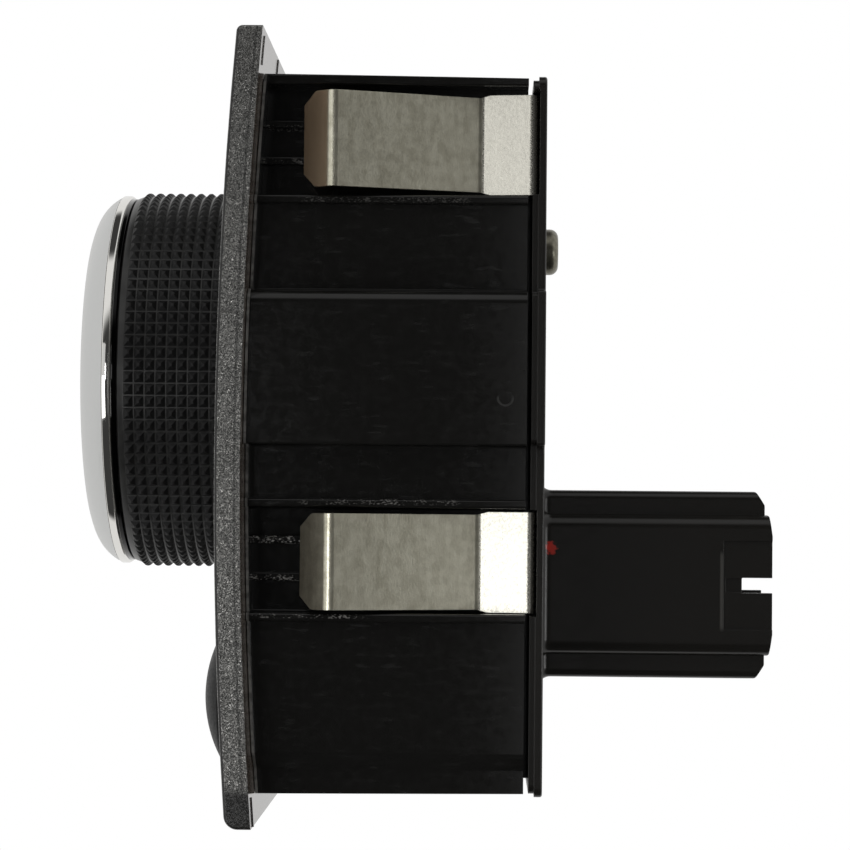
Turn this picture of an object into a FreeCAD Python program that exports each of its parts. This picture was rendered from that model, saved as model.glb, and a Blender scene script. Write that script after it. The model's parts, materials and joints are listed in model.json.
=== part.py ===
import FreeCAD, Part
import math
import os

from FreeCAD import Vector

# Four wheel drive selector switch for a dashboard: a knurled rotary knob and a push button on an
# arched faceplate, with the works in a stepped housing that four spring clips hold in a panel.
# Millimetres. +Z is up, the knob faces -Y and the connector points to +Y.
# The origin is on the knob's axis, 1 mm in front of the panel's face, which meets the ribs near
# the faceplate's ends.

# Faceplate
plate_half_width = 37.0
plate_top = 36.36
plate_bottom = -49.32
plate_thickness = 2.8
plate_arch_radius = 530.0
plate_arch_z = -9.0
plate_rear_middle = -0.87
plate_side_round = 0.35
plate_top_round = 0.7
plate_bottom_round = 1.5
seat_rib_inset = 3.0
seat_rib_width = 0.5
seat_rib_height = 0.12
lower_seat_rib_height = 0.14
seat_rib_length = 3.1
seat_rib_top_gap = 0.75
seat_rib_bottom_gap = 0.05
top_rib_x = 14.4
knob_hole_clearance = 0.4
stake_radius = 1.5
stake_head_radius = 2.4
stake_head_height = 0.8
stake_x = 22.0
stake_z_upper = 26.3
stake_z_lower = -39.2

# Housing, seen from the front: bands of different half width, one above the other
housing_top = 32.15
housing_bottom = -46.24
housing_rear = 29.6
housing_wall = 1.5
housing_front_inner = 2.6
draft_drop = 0.4
seat_gap = 0.05
pocket_half_width = 27.0
pocket_depth = 3.5
border_height = 1.0
bulge_height = 3.5
foot_rise = 2.0
flange_step = 0.3
flange_thickness = 0.35
upper_pocket_top = 30.93
upper_pocket_bottom = 18.83
bulge_top = 8.48
bulge_bottom = -8.32
lower_pocket_top = -15.07
lower_pocket_bottom = -26.5
foot_slope_top = -41.67
foot_slope_bottom = -43.37
border_width = 0.95
bulge_round = 1.55
pocket_rib_width = 0.9
pocket_rib_height = 0.9
pocket_rib_pitch = 4.05
upper_rib_centre = 24.93
lower_rib_centre = -20.62

# Rear cover and its connector
cover_gap = 0.5
cover_thickness = 1.5
cover_front_layer = 0.62
cover_layer_inset = 0.35
cover_edge_round = 0.25
cover_top_drop = 0.25
cover_bottom_rise = 0.1
cover_corner_radius = 1.0
cover_seat_inset = 1.4
cover_plug_depth = 2.6
cover_plug_clearance = 0.15
cover_plug_side_gap = 1.9
cover_hook_x = 12.0
cover_hook_width = 6.0
cover_hook_height = 0.8
cover_hook_length = 1.2
moulding_pip_z = -10.37
moulding_pip_radius = 0.6
shroud_centre_z = -23.7
shroud_half_width = 7.5
shroud_half_height = 8.18
shroud_corner_radius = 1.6
shroud_rail_half_width = 5.5
shroud_rail_half_height = 10.92
shroud_rail_round = 1.0
shroud_rail_end_cut_y = 1.0
shroud_rail_end_cut_z = 1.6
shroud_rail_end_round = 0.5
shroud_mouth_cut_y = 0.35
shroud_mouth_cut_z = 2.5
shroud_mouth_round = 0.3
shroud_length = 27.05
shroud_rail_setback = 0.75
shroud_wall = 1.5
shroud_floor = 1.5
shroud_base_fillet = 1.4
mouth_pad_length = 5.65
mouth_pad_half_height = 5.15
mouth_pad_depth = 0.3
mouth_notch_depth = 3.5
mouth_notch_half_height = 0.88
notch_lead_length = 1.9
notch_lead_depth = 0.7

# Spring clips, bent from strip
clip_thickness = 0.55
clip_base_width = 11.0
clip_arm_width = 10.4
clip_gap = 0.05
clip_base_rise = 0.67
clip_fold_gap = 0.2
clip_rear = 30.75
clip_inner_leg_end = 19.0
clip_flare_start = 24.4
clip_shoulder_start = 25.5
clip_peak_y = 8.45
clip_peak_rise = 6.4
clip_tip_y = 5.4
clip_tip_rise = 4.0
clip_fold_radius = 0.6
clip_bend_radius = 1.6
clip_peak_radius = 0.9
clip_tip_chamfer_y = 1.1
clip_tip_chamfer_z = 1.9
clip_upper_z = 24.78
clip_lower_z = -20.92

# Knob
knob_tip_radius = 22.2
knurl_depth = 0.42
knurl_rows = 9
knurl_row_pitch = 1.21
knurls_around = 100
knob_rear = -4.56
grip_shoulder_length = 0.9
grip_shoulder_drop = 0.75
grip_wall = 1.2
ring_front = -20.73
ring_face_width = 3.55
ring_crease_drop = 0.45
ring_crease_setback = 3.23
ring_face_bulge = 0.5
ring_band_drop = 0.4
ring_thickness = 1.15
ring_lip = 0.4
cap_recess = 0.5
cap_thickness = 1.3
cap_dish = 0.35
cap_gap = 0.1
pointer_width = 1.8
pointer_inner = 6.0
pointer_outer = 14.5
hub_wall = 1.5
hub_disc_thickness = 2.2
shaft_radius = 7.0
shaft_bore_radius = 3.5
shaft_clearance = 0.05
bearing_wall = 2.0
bearing_rear = 8.0
key_radius = 5.6
key_half_flat = 4.6
key_rear = 21.4
light_guide_clearance = 0.2
thrust_washer_thickness = 0.6
running_gap = 0.15
retaining_ring_thickness = 0.8
retaining_ring_radius = 8.6
retaining_ring_gap = 5.0
retaining_hole_radius = 0.5
shaft_groove_depth = 0.8

# Detents: four knob positions with a stop at each end
detent_pitch_deg = 36.0
knob_positions = 4
detent_wheel_radius = 11.5
detent_wheel_thickness = 3.6
detent_notch_radius = 1.5
detent_notch_depth = 0.9
detent_spring_thickness = 0.4
detent_nose_radius = 1.0
detent_nose_gap = 0.25
detent_spring_half_length = 12.6
detent_post_half_width = 1.9
detent_leaf_offset = 2.0
detent_leg_half = 3.2
detent_leg_bend = 0.8
stop_lug_radius = 14.0
stop_lug_half_deg = 7.0
stop_post_half_deg = 4.0
stop_post_outer_radius = 15.2
stop_margin_deg = 1.5
wheel_gap = 0.35

# Rotary contact
contact_rotor_radius = 10.5
contact_rotor_thickness = 3.0
brush_thickness = 0.3
brush_inner_radius = 6.6
brush_outer_radius = 9.8
brush_finger_length = 5.2
brush_finger_width = 1.2
brush_board_gap = 0.15

# Push button
button_z = -37.42
button_radius = 8.0
button_hole_clearance = 0.25
button_apex = -7.8
button_dome_radius = 15.6
button_rim_round = 1.0
button_rear = -0.2
button_pocket_floor = 1.9
button_pocket_radius = 8.6
button_wall = 1.4
button_face_thickness = 0.84
button_boss_wall = 1.2
plunger_radius = 4.0
plunger_guide_wall = 1.4
plunger_guide_rear = 14.2
plunger_flange_radius = 5.1
plunger_flange_thickness = 1.2
plunger_rear = 20.6
plunger_running_clearance = 0.07
plunger_neck_depth = 0.8
plunger_wall = 1.6
plunger_bore_depth = 12.0
press_fit = 0.02
dome_base_radius = 5.6
dome_top_radius = 3.2
dome_wall = 0.8
dome_gap = 0.2

# Circuit board and what is on it
board_front = 24.0
board_thickness = 1.6
board_side_gap = 3.0
board_top = 28.33
board_bottom = -43.07
board_corner_radius = 2.0
board_screw_inset = 4.5
board_screw_z = -32.67
board_screw_radius = 1.0
board_screw_head_radius = 2.1
board_screw_head_height = 1.5
board_screw_length = 6.0
board_boss_radius = 2.4
cover_screw_z = 15.6
cover_screw_radius = 1.45
cover_screw_head_radius = 2.72
cover_screw_head_height = 2.05
cover_screw_length = 13.0
cover_boss_radius = 2.8
screw_hole_clearance = 0.15
pins_per_row = 6
pin_pitch = 2.2
pin_row_half_gap = 1.9
pin_width = 0.64
pin_tip_taper = 0.9
pin_tip_width = 0.29
pin_reach = 15.0
pin_board_stub = 0.6
pin_clearance = 0.06
header_half_width = 3.6
header_half_height = 7.6
header_clearance = 0.15
chip_size = 9.0
chip_height = 1.4
chip_legs = 11
chip_inset = 11.5
chip_z = -3.0
lamp_places = ((0.0, 0.0), (-16.0, 8.0), (16.0, 8.0))
led_height = 0.8
resistor_size = (3.2, 1.6, 0.7)
resistor_places = ((8.0, 22.0), (13.5, 22.0), (-12.0, -16.0), (-12.0, -21.0))
capacitor_size = (2.0, 1.3, 0.8)
capacitor_places = ((8.0, 4.0), (8.0, -1.0), (-9.0, 20.0), (-13.0, 20.0), (12.0, -16.0), (12.0, -20.0))
diode_size = (4.2, 2.6, 1.9)
diode_places = ((13.0, 4.0), (14.0, -4.0))

# Places that follow from the sizes above
side_half_width = pocket_half_width + pocket_depth
border_half_width = side_half_width + border_height
bulge_half_width = side_half_width + bulge_height
foot_half_width = pocket_half_width + foot_rise
board_half_width = pocket_half_width - housing_wall - board_side_gap
board_screw_x = board_half_width - board_screw_inset
chip_x = chip_inset - board_half_width
plug_half_width = pocket_half_width - housing_wall - cover_plug_side_gap
seat_rib_x = plate_half_width - seat_rib_inset
clip_peak_x = pocket_half_width + clip_peak_rise
clip_tip_x = pocket_half_width + clip_tip_rise
cover_front = housing_rear + cover_gap
cover_rear = cover_front + cover_thickness
shroud_mouth = cover_rear + shroud_length
knurl_front = knob_rear - knurl_rows * knurl_row_pitch
band_rear = knurl_front - grip_shoulder_length
knurl_root_radius = knob_tip_radius - knurl_depth
grip_inner_radius = knurl_root_radius - grip_wall
crease_y = ring_front + ring_crease_setback
ring_crease_radius = knob_tip_radius - ring_crease_drop
ring_rim_radius = ring_crease_radius - ring_face_width
ring_band_radius = knob_tip_radius - ring_band_drop
hub_outer_radius = grip_inner_radius - shaft_clearance
hub_front = crease_y - ring_thickness
hub_disc_rear = hub_front + hub_disc_thickness
washer_front = hub_disc_rear + running_gap / 2
bearing_front = washer_front + thrust_washer_thickness + running_gap
bearing_outer_radius = shaft_radius + shaft_clearance + bearing_wall
cap_front = ring_front + cap_recess
cap_radius = ring_rim_radius - ring_lip - cap_gap
retaining_ring_front = bearing_rear + running_gap
shaft_shoulder = retaining_ring_front + retaining_ring_thickness + running_gap
detent_wheel_front = shaft_shoulder + 0.1
detent_wheel_rear = detent_wheel_front + detent_wheel_thickness
brush_rear = board_front - brush_board_gap
contact_rotor_rear = key_rear - running_gap
contact_rotor_front = contact_rotor_rear - contact_rotor_thickness
board_rear = board_front + board_thickness
knob_travel_deg = detent_pitch_deg * (knob_positions - 1)
pointer_rest_deg = -knob_travel_deg / 2
cover_bore_radius = cover_screw_radius + screw_hole_clearance
button_dome_drop = button_dome_radius - math.sqrt(button_dome_radius**2 - button_radius**2)
button_side_front = button_apex + button_dome_drop
button_hollow_front = button_side_front + button_face_thickness


def xz_points(points, y):
    return [Vector(x, y, z) for x, z in points]


def yz_points(points, x):
    return [Vector(x, y, z) for y, z in points]


# A closed wire through the points, with a radius at each corner. A radius that is too large
# for its two sides is limited by the shorter one.
def outline(points, radii=0.0):
    count = len(points)
    if not isinstance(radii, (list, tuple)):
        radii = [radii] * count
    starts = []
    ends = []
    middles = []
    for i, corner in enumerate(points):
        before = points[i - 1] - corner
        after = points[(i + 1) % count] - corner
        room = 0.49 * min(before.Length, after.Length)
        before.normalize()
        after.normalize()
        half_angle = before.getAngle(after) / 2
        run = min(radii[i] / math.tan(half_angle), room)
        starts.append(corner + before * run)
        ends.append(corner + after * run)
        inward = before + after
        inward.normalize()
        radius = run * math.tan(half_angle)
        middles.append(corner + inward * (radius / math.sin(half_angle) - radius))
    edges = []
    for i in range(count):
        if (starts[i] - ends[i]).Length > 1e-6:
            edges.append(Part.Arc(starts[i], middles[i], ends[i]).toShape())
        following = starts[(i + 1) % count]
        if (following - ends[i]).Length > 1e-6:
            edges.append(Part.makeLine(ends[i], following))
    return Part.Wire(edges)


def prism(points, direction, radii=0.0):
    return Part.Face(outline(points, radii)).extrude(direction)


# A solid between two Y values whose section is given as (x, z) points.
def section_solid(points, y_front, y_rear, radii=0.0):
    return prism(xz_points(points, y_front), Vector(0, y_rear - y_front, 0), radii)


def block(x0, x1, y0, y1, z0, z1):
    return Part.makeBox(x1 - x0, y1 - y0, z1 - z0, Vector(x0, y0, z0))


def rod(radius, y0, y1, x=0.0, z=0.0):
    return Part.makeCylinder(radius, y1 - y0, Vector(x, y0, z), Vector(0, 1, 0))


def tube(outer, inner, y0, y1, x=0.0, z=0.0):
    return rod(outer, y0, y1, x, z).cut(rod(inner, y0, y1, x, z))


# Turns (radius, y) points about the line through x, z along Y.
def turned(points, radii=0.0, x=0.0, z=0.0):
    face = Part.Face(outline([Vector(x + r, y, z) for r, y in points], radii))
    return face.revolve(Vector(x, 0, z), Vector(0, 1, 0), 360)


def mirrored(shape):
    return shape.mirror(Vector(0, 0, 0), Vector(1, 0, 0))


def with_mirror(shape):
    return shape.fuse(mirrored(shape))


def both_sides(right_points):
    return right_points + [(-x, z) for x, z in reversed(right_points)]


# Turned about the knob's axis: a positive angle takes +Z towards +X.
def about_axis(shape, degrees):
    turned_shape = shape.copy()
    turned_shape.rotate(Vector(0, 0, 0), Vector(0, 1, 0), degrees)
    return turned_shape


# A sector between two radii, centred on an angle from +Z towards +X.
def sector(inner, outer, centre_deg, half_deg, y0, y1):
    def at(radius, degrees):
        angle = math.radians(degrees)
        return Vector(radius * math.sin(angle), y0, radius * math.cos(angle))

    low = centre_deg - half_deg
    high = centre_deg + half_deg
    edges = [
        Part.Arc(at(inner, low), at(inner, centre_deg), at(inner, high)).toShape(),
        Part.makeLine(at(inner, high), at(outer, high)),
        Part.Arc(at(outer, high), at(outer, centre_deg), at(outer, low)).toShape(),
        Part.makeLine(at(outer, low), at(inner, low)),
    ]
    return Part.Face(Part.Wire(edges)).extrude(Vector(0, y1 - y0, 0))


# Strip of one thickness that follows a line of points, bent at each inner point to its radius,
# and swept along the given direction as wide as that vector is long.
def bent_strip(points, radii, thickness, width):
    normal = Vector(width)
    normal.normalize()
    sides = ([], [])
    last = [None, None]
    for i in range(1, len(points) - 1):
        before = points[i - 1] - points[i]
        after = points[i + 1] - points[i]
        before.normalize()
        after.normalize()
        half_angle = before.getAngle(after) / 2
        run = radii[i - 1] / math.tan(half_angle)
        inward = before + after
        inward.normalize()
        centre = points[i] + inward * (radii[i - 1] / math.sin(half_angle))
        for k, side in enumerate((-1, 1)):
            offset_in = normal.cross(before * -1) * (side * thickness / 2)
            offset_out = normal.cross(after) * (side * thickness / 2)
            start = points[i] + before * run + offset_in
            end = points[i] + after * run + offset_out
            middle = centre - inward * (start - centre).Length
            if last[k] is None:
                last[k] = points[0] + offset_in
            sides[k].append(Part.makeLine(last[k], start))
            sides[k].append(Part.Arc(start, middle, end).toShape())
            last[k] = end
            if i == len(points) - 2:
                finish = points[-1] + offset_out
                sides[k].append(Part.makeLine(end, finish))
                last[k] = finish
    first = [side[0].Vertexes[0].Point for side in sides]
    edges = sides[0] + [Part.makeLine(last[0], last[1])]
    edges += list(reversed(sides[1])) + [Part.makeLine(first[1], first[0])]
    return Part.Face(Part.Wire(Part.__sortEdges__(edges))).extrude(width)


def plate_rear_at(z):
    reach = z - plate_arch_z
    sag = plate_arch_radius - math.sqrt(plate_arch_radius**2 - reach**2)
    return plate_rear_middle + sag


# A slab that follows the faceplate's arch, from so far in front of its rear face to so far behind.
def arched_slab(front, rear, half_width, bottom=plate_bottom - 3.0, top=plate_top + 3.0):
    def point(offset, z):
        return Vector(-half_width, plate_rear_at(z) + offset, z)

    middle = (bottom + top) / 2
    edges = [
        Part.Arc(point(front, top), point(front, middle), point(front, bottom)).toShape(),
        Part.makeLine(point(front, bottom), point(rear, bottom)),
        Part.Arc(point(rear, bottom), point(rear, middle), point(rear, top)).toShape(),
        Part.makeLine(point(rear, top), point(front, top)),
    ]
    return Part.Face(Part.Wire(edges)).extrude(Vector(2 * half_width, 0, 0))


# Low ribs on the faceplate's rear, near its ends, which the panel's face meets.
def seat_ribs():
    shapes = []
    half = seat_rib_width / 2
    top = plate_top - seat_rib_top_gap
    bottom = plate_bottom + seat_rib_bottom_gap
    places = [
        (top - seat_rib_length, top, seat_rib_height),
        (bottom, bottom + seat_rib_length, lower_seat_rib_height),
    ]
    for low, high, height in places:
        for x in (-seat_rib_x, seat_rib_x):
            rib = arched_slab(-0.3, height, half, low, high)
            shapes.append(rib.translated(Vector(x, 0, 0)))
    for x in (-top_rib_x, top_rib_x):
        rib = arched_slab(-0.3, seat_rib_height, half, housing_top + seat_gap, plate_top - 0.2)
        shapes.append(rib.translated(Vector(x, 0, 0)))
    return shapes


def front_edges(shape, side):
    edges = []
    for edge in shape.Edges:
        in_front = all(abs(v.Y - plate_rear_at(v.Z) + plate_thickness) < 0.02 for v in edge.Vertexes)
        box = edge.BoundBox
        at_side = box.XMax - box.XMin < 0.01
        at_top = box.ZMin > plate_top - 0.01
        at_bottom = box.ZMax < plate_bottom + 0.01
        wanted = {"sides": at_side, "top": at_top, "bottom": at_bottom}[side]
        if in_front and wanted:
            edges.append(edge)
    return edges


def make_faceplate():
    half = plate_half_width
    plate = arched_slab(-plate_thickness, 0.0, half, plate_bottom, plate_top)
    plate = plate.makeFillet(plate_bottom_round, front_edges(plate, "bottom"))
    plate = plate.makeFillet(plate_top_round, front_edges(plate, "top"))
    plate = plate.makeFillet(plate_side_round, front_edges(plate, "sides"))
    plate = plate.fuse(seat_ribs())
    plate = plate.cut(rod(bearing_outer_radius + knob_hole_clearance, -10, 10))
    plate = plate.cut(rod(button_radius + button_hole_clearance, -10, 10, 0, button_z))
    for x in (-stake_x, stake_x):
        for z in (stake_z_upper, stake_z_lower):
            plate = plate.fuse(heat_stake(x, z))
    return plate.removeSplitter()


# A peg through the housing's front wall with its end formed into a head.
def heat_stake(x, z):
    head_front = housing_front_inner + seat_gap
    head_rear = head_front + stake_head_height
    profile = [
        (0, plate_rear_at(z) - 0.5),
        (stake_radius, plate_rear_at(z) - 0.5),
        (stake_radius, head_front),
        (stake_head_radius, head_front),
        (stake_radius, head_rear),
        (0, head_rear),
    ]
    return turned(profile, 0, x, z)


# The housing's section as (x, z) points, drawn in by a wall's thickness.
def housing_section(wall):
    bands = [
        (pocket_half_width, upper_pocket_bottom),
        (side_half_width, bulge_top),
        (bulge_half_width, bulge_bottom),
        (side_half_width, lower_pocket_top),
        (pocket_half_width, lower_pocket_bottom),
    ]
    right = [(pocket_half_width - wall, housing_top - wall)]
    following = [band[0] for band in bands[1:]] + [side_half_width]
    for (half_width, z), next_half_width in zip(bands, following):
        inner_z = z - wall if next_half_width > half_width else z + wall
        right.append((half_width - wall, inner_z))
        right.append((next_half_width - wall, inner_z))
    right.append((side_half_width - wall, foot_slope_top + wall / 2))
    right.append((foot_half_width - wall, foot_slope_bottom + wall / 2))
    right.append((foot_half_width - wall, housing_bottom + wall))
    return both_sides(right)


def housing_section_radii(points):
    radii = []
    for x, z in points:
        on_bulge_top = abs(abs(x) - bulge_half_width) < 1e-6 and z > 0
        radii.append(bulge_round if on_bulge_top else 0.25)
    return radii


# The borders above and below each clip pocket, and the ribs on its floor.
def pocket_ribs():
    root = pocket_half_width - housing_wall / 2
    front = housing_front_inner
    borders = [
        (upper_pocket_top, housing_top, side_half_width),
        (upper_pocket_bottom - border_width, upper_pocket_bottom, border_half_width),
        (lower_pocket_top, lower_pocket_top + border_width, border_half_width),
        (lower_pocket_bottom - border_width, lower_pocket_bottom, border_half_width),
    ]
    shapes = []
    for z_low, z_high, reach in borders:
        section = [(root, z_low), (reach, z_low), (reach, z_high), (root, z_high)]
        shapes.append(section_solid(section, -3.0, housing_rear, [0, 0.3, 0.3, 0]))
    floor_reach = pocket_half_width + pocket_rib_height
    for centre in (upper_rib_centre, lower_rib_centre):
        for side in (-0.5, 0.5):
            z = centre + side * pocket_rib_pitch
            low = z - pocket_rib_width / 2
            high = z + pocket_rib_width / 2
            section = [(root, low), (floor_reach, low), (floor_reach, high), (root, high)]
            shapes.append(section_solid(section, front - 4.0, front + 10.0, [0, 0.2, 0.2, 0]))
    return shapes


# A thin flange in front, which shows as a step beside the pockets.
def front_flange():
    reach = side_half_width + flange_step
    top = housing_top - border_width
    face = [(reach, top), (reach, foot_slope_top)]
    block_in_front = section_solid(both_sides(face), -4.0, housing_front_inner + 1)
    return block_in_front.common(arched_slab(0.0, seat_gap + flange_thickness, reach + 1))


# Wedges that give the top and bottom walls their mould draft.
def draft_wedges():
    far = bulge_half_width + 2.0
    shapes = []
    for edge, way in ((housing_top, 1), (housing_bottom, -1)):
        drop = draft_drop if way > 0 else draft_drop * 0.65
        points = [(0.0, edge), (housing_rear, edge - way * drop), (housing_rear, edge + way * 2)]
        points.append((0.0, edge + way * 2))
        shapes.append(prism(yz_points(points, -far), Vector(2 * far, 0, 0)))
    return shapes


def make_housing():
    outer_points = housing_section(0.0)
    outer = section_solid(outer_points, -4.0, housing_rear, housing_section_radii(outer_points))
    ribs = pocket_ribs()
    outer = outer.fuse(ribs + [mirrored(rib) for rib in ribs])
    cavity = section_solid(housing_section(housing_wall), housing_front_inner, housing_rear + 1)
    body = outer.cut([cavity] + draft_wedges())
    bearing = rod(bearing_outer_radius, bearing_front, bearing_rear)
    guide_radius = plunger_radius + plunger_running_clearance
    guide = rod(guide_radius + plunger_guide_wall, 0.5, plunger_guide_rear, 0, button_z)
    inside = [clip_tabs(), guide, screw_boss(0, cover_screw_z, cover_boss_radius)]
    for x in (-board_screw_x, board_screw_x):
        inside.append(screw_boss(x, board_screw_z, board_boss_radius))
    inside += stop_posts()
    inside += detent_posts()
    body = body.fuse(inside)
    body = body.fuse(front_flange())
    body = body.cut(arched_slab(-12.0, seat_gap, bulge_half_width + 5.0))
    body = body.fuse(bearing)
    cover_tip = cover_rear - cover_screw_length
    cuts = [
        rod(shaft_radius + shaft_clearance, bearing_front - 1, bearing_rear + 1),
        rod(button_pocket_radius, -3, button_pocket_floor, 0, button_z),
        rod(guide_radius, -3, plunger_guide_rear + 1, 0, button_z),
        rod(cover_screw_radius + 0.03, cover_tip - 1, board_front + 1, 0, cover_screw_z),
    ]
    board_tip = board_rear - board_screw_length
    for x in (-board_screw_x, board_screw_x):
        bore = board_screw_radius + 0.03
        cuts.append(rod(bore, board_tip - 1, board_front + 1, x, board_screw_z))
    for x in (-stake_x, stake_x):
        for z in (stake_z_upper, stake_z_lower):
            cuts.append(rod(stake_radius + 0.05, -5, housing_front_inner + 0.5, x, z))
    cuts += cover_hooks(cover_plug_clearance)
    return body.cut(cuts).removeSplitter()


# Each pocket's floor runs a little further back, into the fold of its clip.
def clip_tabs():
    inner = pocket_half_width - housing_wall
    rear = clip_rear - clip_thickness - clip_fold_gap
    tabs = []
    for z in (clip_upper_z, clip_lower_z):
        half = clip_base_width / 2 - 0.6
        tab = block(inner, pocket_half_width, housing_rear - 3, rear, z - half, z + half)
        tabs.append(with_mirror(tab))
    return tabs[0].fuse(tabs[1])


def screw_boss(x, z, radius):
    return rod(radius, housing_front_inner - 0.5, board_front, x, z)


def stop_posts():
    front = housing_front_inner - 0.5
    reach = stop_lug_half_deg + stop_margin_deg + stop_post_half_deg
    first = 90 - knob_travel_deg / 2 - reach
    last = 90 + knob_travel_deg / 2 + reach
    inner = detent_wheel_radius + wheel_gap
    posts = []
    for angle in (first, last):
        post = sector(
            inner, stop_post_outer_radius, angle, stop_post_half_deg, front, detent_wheel_rear
        )
        posts.append(post)
    return posts


def detent_leaf_x():
    notch_floor = detent_wheel_radius - detent_notch_depth
    nose_reach = detent_nose_radius + detent_spring_thickness / 2
    return notch_floor + detent_nose_gap + nose_reach


# Two posts with a slot each, which hold the ends of the detent spring.
def detent_posts():
    leaf_x = detent_leaf_x() + detent_leaf_offset
    slot = detent_spring_thickness / 2 + 0.05
    half = detent_post_half_width
    posts = []
    for side in (-1, 1):
        z = side * detent_spring_half_length
        post = block(-leaf_x - half, -leaf_x + half, 2.0, detent_wheel_rear, z - half, z + half)
        inner = z - side * half
        end = z + side * 0.05
        low = min(inner, end) - (0.1 if side > 0 else 0.0)
        high = max(inner, end) + (0.1 if side < 0 else 0.0)
        gap = block(
            -leaf_x - slot, -leaf_x + slot, detent_wheel_front, detent_wheel_rear + 1, low, high
        )
        posts.append(post.cut(gap))
    return posts


def make_detent_spring():
    leaf_x = detent_leaf_x() + detent_leaf_offset
    tip_x = detent_leaf_x() - detent_nose_radius - detent_spring_thickness / 2
    lean = math.atan2(detent_leg_half, leaf_x - tip_x)
    corner = tip_x + detent_spring_thickness / 2
    corner -= detent_nose_radius * (1 / math.sin(lean) - 1)
    y = detent_wheel_front + 0.1
    ends = detent_spring_half_length
    points = [
        Vector(-leaf_x, y, -ends),
        Vector(-leaf_x, y, -detent_leg_half),
        Vector(-corner, y, 0),
        Vector(-leaf_x, y, detent_leg_half),
        Vector(-leaf_x, y, ends),
    ]
    width = Vector(0, detent_wheel_thickness - 0.2, 0)
    radii = [detent_leg_bend, detent_nose_radius, detent_leg_bend]
    return bent_strip(points, radii, detent_spring_thickness, width)


# The cover's outline: it follows the bulge and bridges the clip pockets.
def cover_section(inset):
    right = [
        (border_half_width - inset, housing_top - cover_top_drop - inset),
        (border_half_width - inset, bulge_top - inset),
        (bulge_half_width - inset, bulge_top - inset),
        (bulge_half_width - inset, bulge_bottom + inset),
        (border_half_width - inset, bulge_bottom + inset),
        (border_half_width - inset, housing_bottom + cover_bottom_rise + inset),
    ]
    return both_sides(right)


# The cover's flange: a thinner layer in front, set in a little, and the full outline behind it.
def cover_flange():
    radii = []
    for x, z in cover_section(0.0):
        at_end = abs(x) < border_half_width + 0.1 and not bulge_bottom - 1 < z < bulge_top + 1
        radii.append(cover_corner_radius if at_end else 0.4)
    layer_rear = cover_front + cover_front_layer
    front_layer = section_solid(cover_section(cover_layer_inset), cover_front, layer_rear + 0.1, radii)
    rear_layer = section_solid(cover_section(0.0), layer_rear, cover_rear, radii)
    edges = [e for e in rear_layer.Edges if e.BoundBox.YMin > cover_rear - 1e-4]
    return front_layer.fuse(rear_layer.makeFillet(cover_edge_round, edges))


# Hooks on the plug's lower edge, which snap into recesses of the housing's bottom wall.
def cover_hooks(extra):
    shapes = []
    base = housing_bottom + housing_wall
    for x in (-cover_hook_x, cover_hook_x):
        half = cover_hook_width / 2 + extra
        front = cover_front - cover_plug_depth - extra
        points = [
            (front, base + 1.2),
            (front, base),
            (front + cover_hook_length * 0.75, base - cover_hook_height - extra),
            (front + cover_hook_length + 2 * extra, base - cover_hook_height - extra),
            (front + cover_hook_length + 2 * extra, base + 1.2),
        ]
        shapes.append(prism(yz_points(points, x - half), Vector(2 * half, 0, 0)))
    return shapes


# A slab whose far end is cut back at the top and bottom, to trim the shroud's end with.
def eased_end(y0, y1, tall, cut_y, cut_z, corner_round):
    middle_z = shroud_centre_z
    short = tall - cut_z
    side = [
        (y0, middle_z - tall),
        (y1 - cut_y, middle_z - tall),
        (y1, middle_z - short),
        (y1, middle_z + short),
        (y1 - cut_y, middle_z + tall),
        (y0, middle_z + tall),
    ]
    far = shroud_half_width + 1.0
    return prism(yz_points(side, -far), Vector(2 * far, 0, 0), [0] + [corner_round] * 4 + [0])


def shroud_solid(inset, y0, y1, rail_end):
    wide = shroud_half_width - inset
    tall = shroud_half_height - inset
    middle_z = shroud_centre_z
    right = [(wide, middle_z + tall), (wide, middle_z - tall)]
    body = section_solid(both_sides(right), y0, y1, shroud_corner_radius)
    rail_wide = shroud_rail_half_width - inset
    rail_tall = shroud_rail_half_height - inset
    rail_right = [(rail_wide, middle_z + rail_tall), (rail_wide, middle_z - rail_tall)]
    rails = section_solid(both_sides(rail_right), y0, rail_end, shroud_rail_round)
    if inset == 0.0:
        cut_y = shroud_rail_end_cut_y
        cut_z = shroud_rail_end_cut_z
        rails = rails.common(
            eased_end(y0, rail_end, rail_tall, cut_y, cut_z, shroud_rail_end_round)
        )
        cut_y = shroud_mouth_cut_y
        cut_z = shroud_mouth_cut_z
        body = body.common(eased_end(y0, y1, tall, cut_y, cut_z, shroud_mouth_round))
    return body.fuse(rails)


# A thin slab with a block on it and a fillet between them, for the foot of the shroud.
def base_flare(half_width, half_height, radius):
    middle = shroud_centre_z
    spread = shroud_base_fillet + 0.2
    slab = block(
        -half_width - spread,
        half_width + spread,
        cover_rear - 0.5,
        cover_rear,
        middle - half_height - spread,
        middle + half_height + spread,
    )
    right = [(half_width, middle + half_height), (half_width, middle - half_height)]
    stem = section_solid(both_sides(right), cover_rear, cover_rear + 4.0, radius)
    foot = slab.fuse(stem)
    edges = []
    for edge in foot.Edges:
        box = edge.BoundBox
        on_face = abs(box.YMin - cover_rear) < 1e-4 and abs(box.YMax - cover_rear) < 1e-4
        inside = max(-box.XMin, box.XMax) < half_width + 0.1
        inside = inside and max(middle - box.ZMin, box.ZMax - middle) < half_height + 0.1
        if on_face and inside:
            edges.append(edge)
    return foot.makeFillet(shroud_base_fillet, edges)


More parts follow.
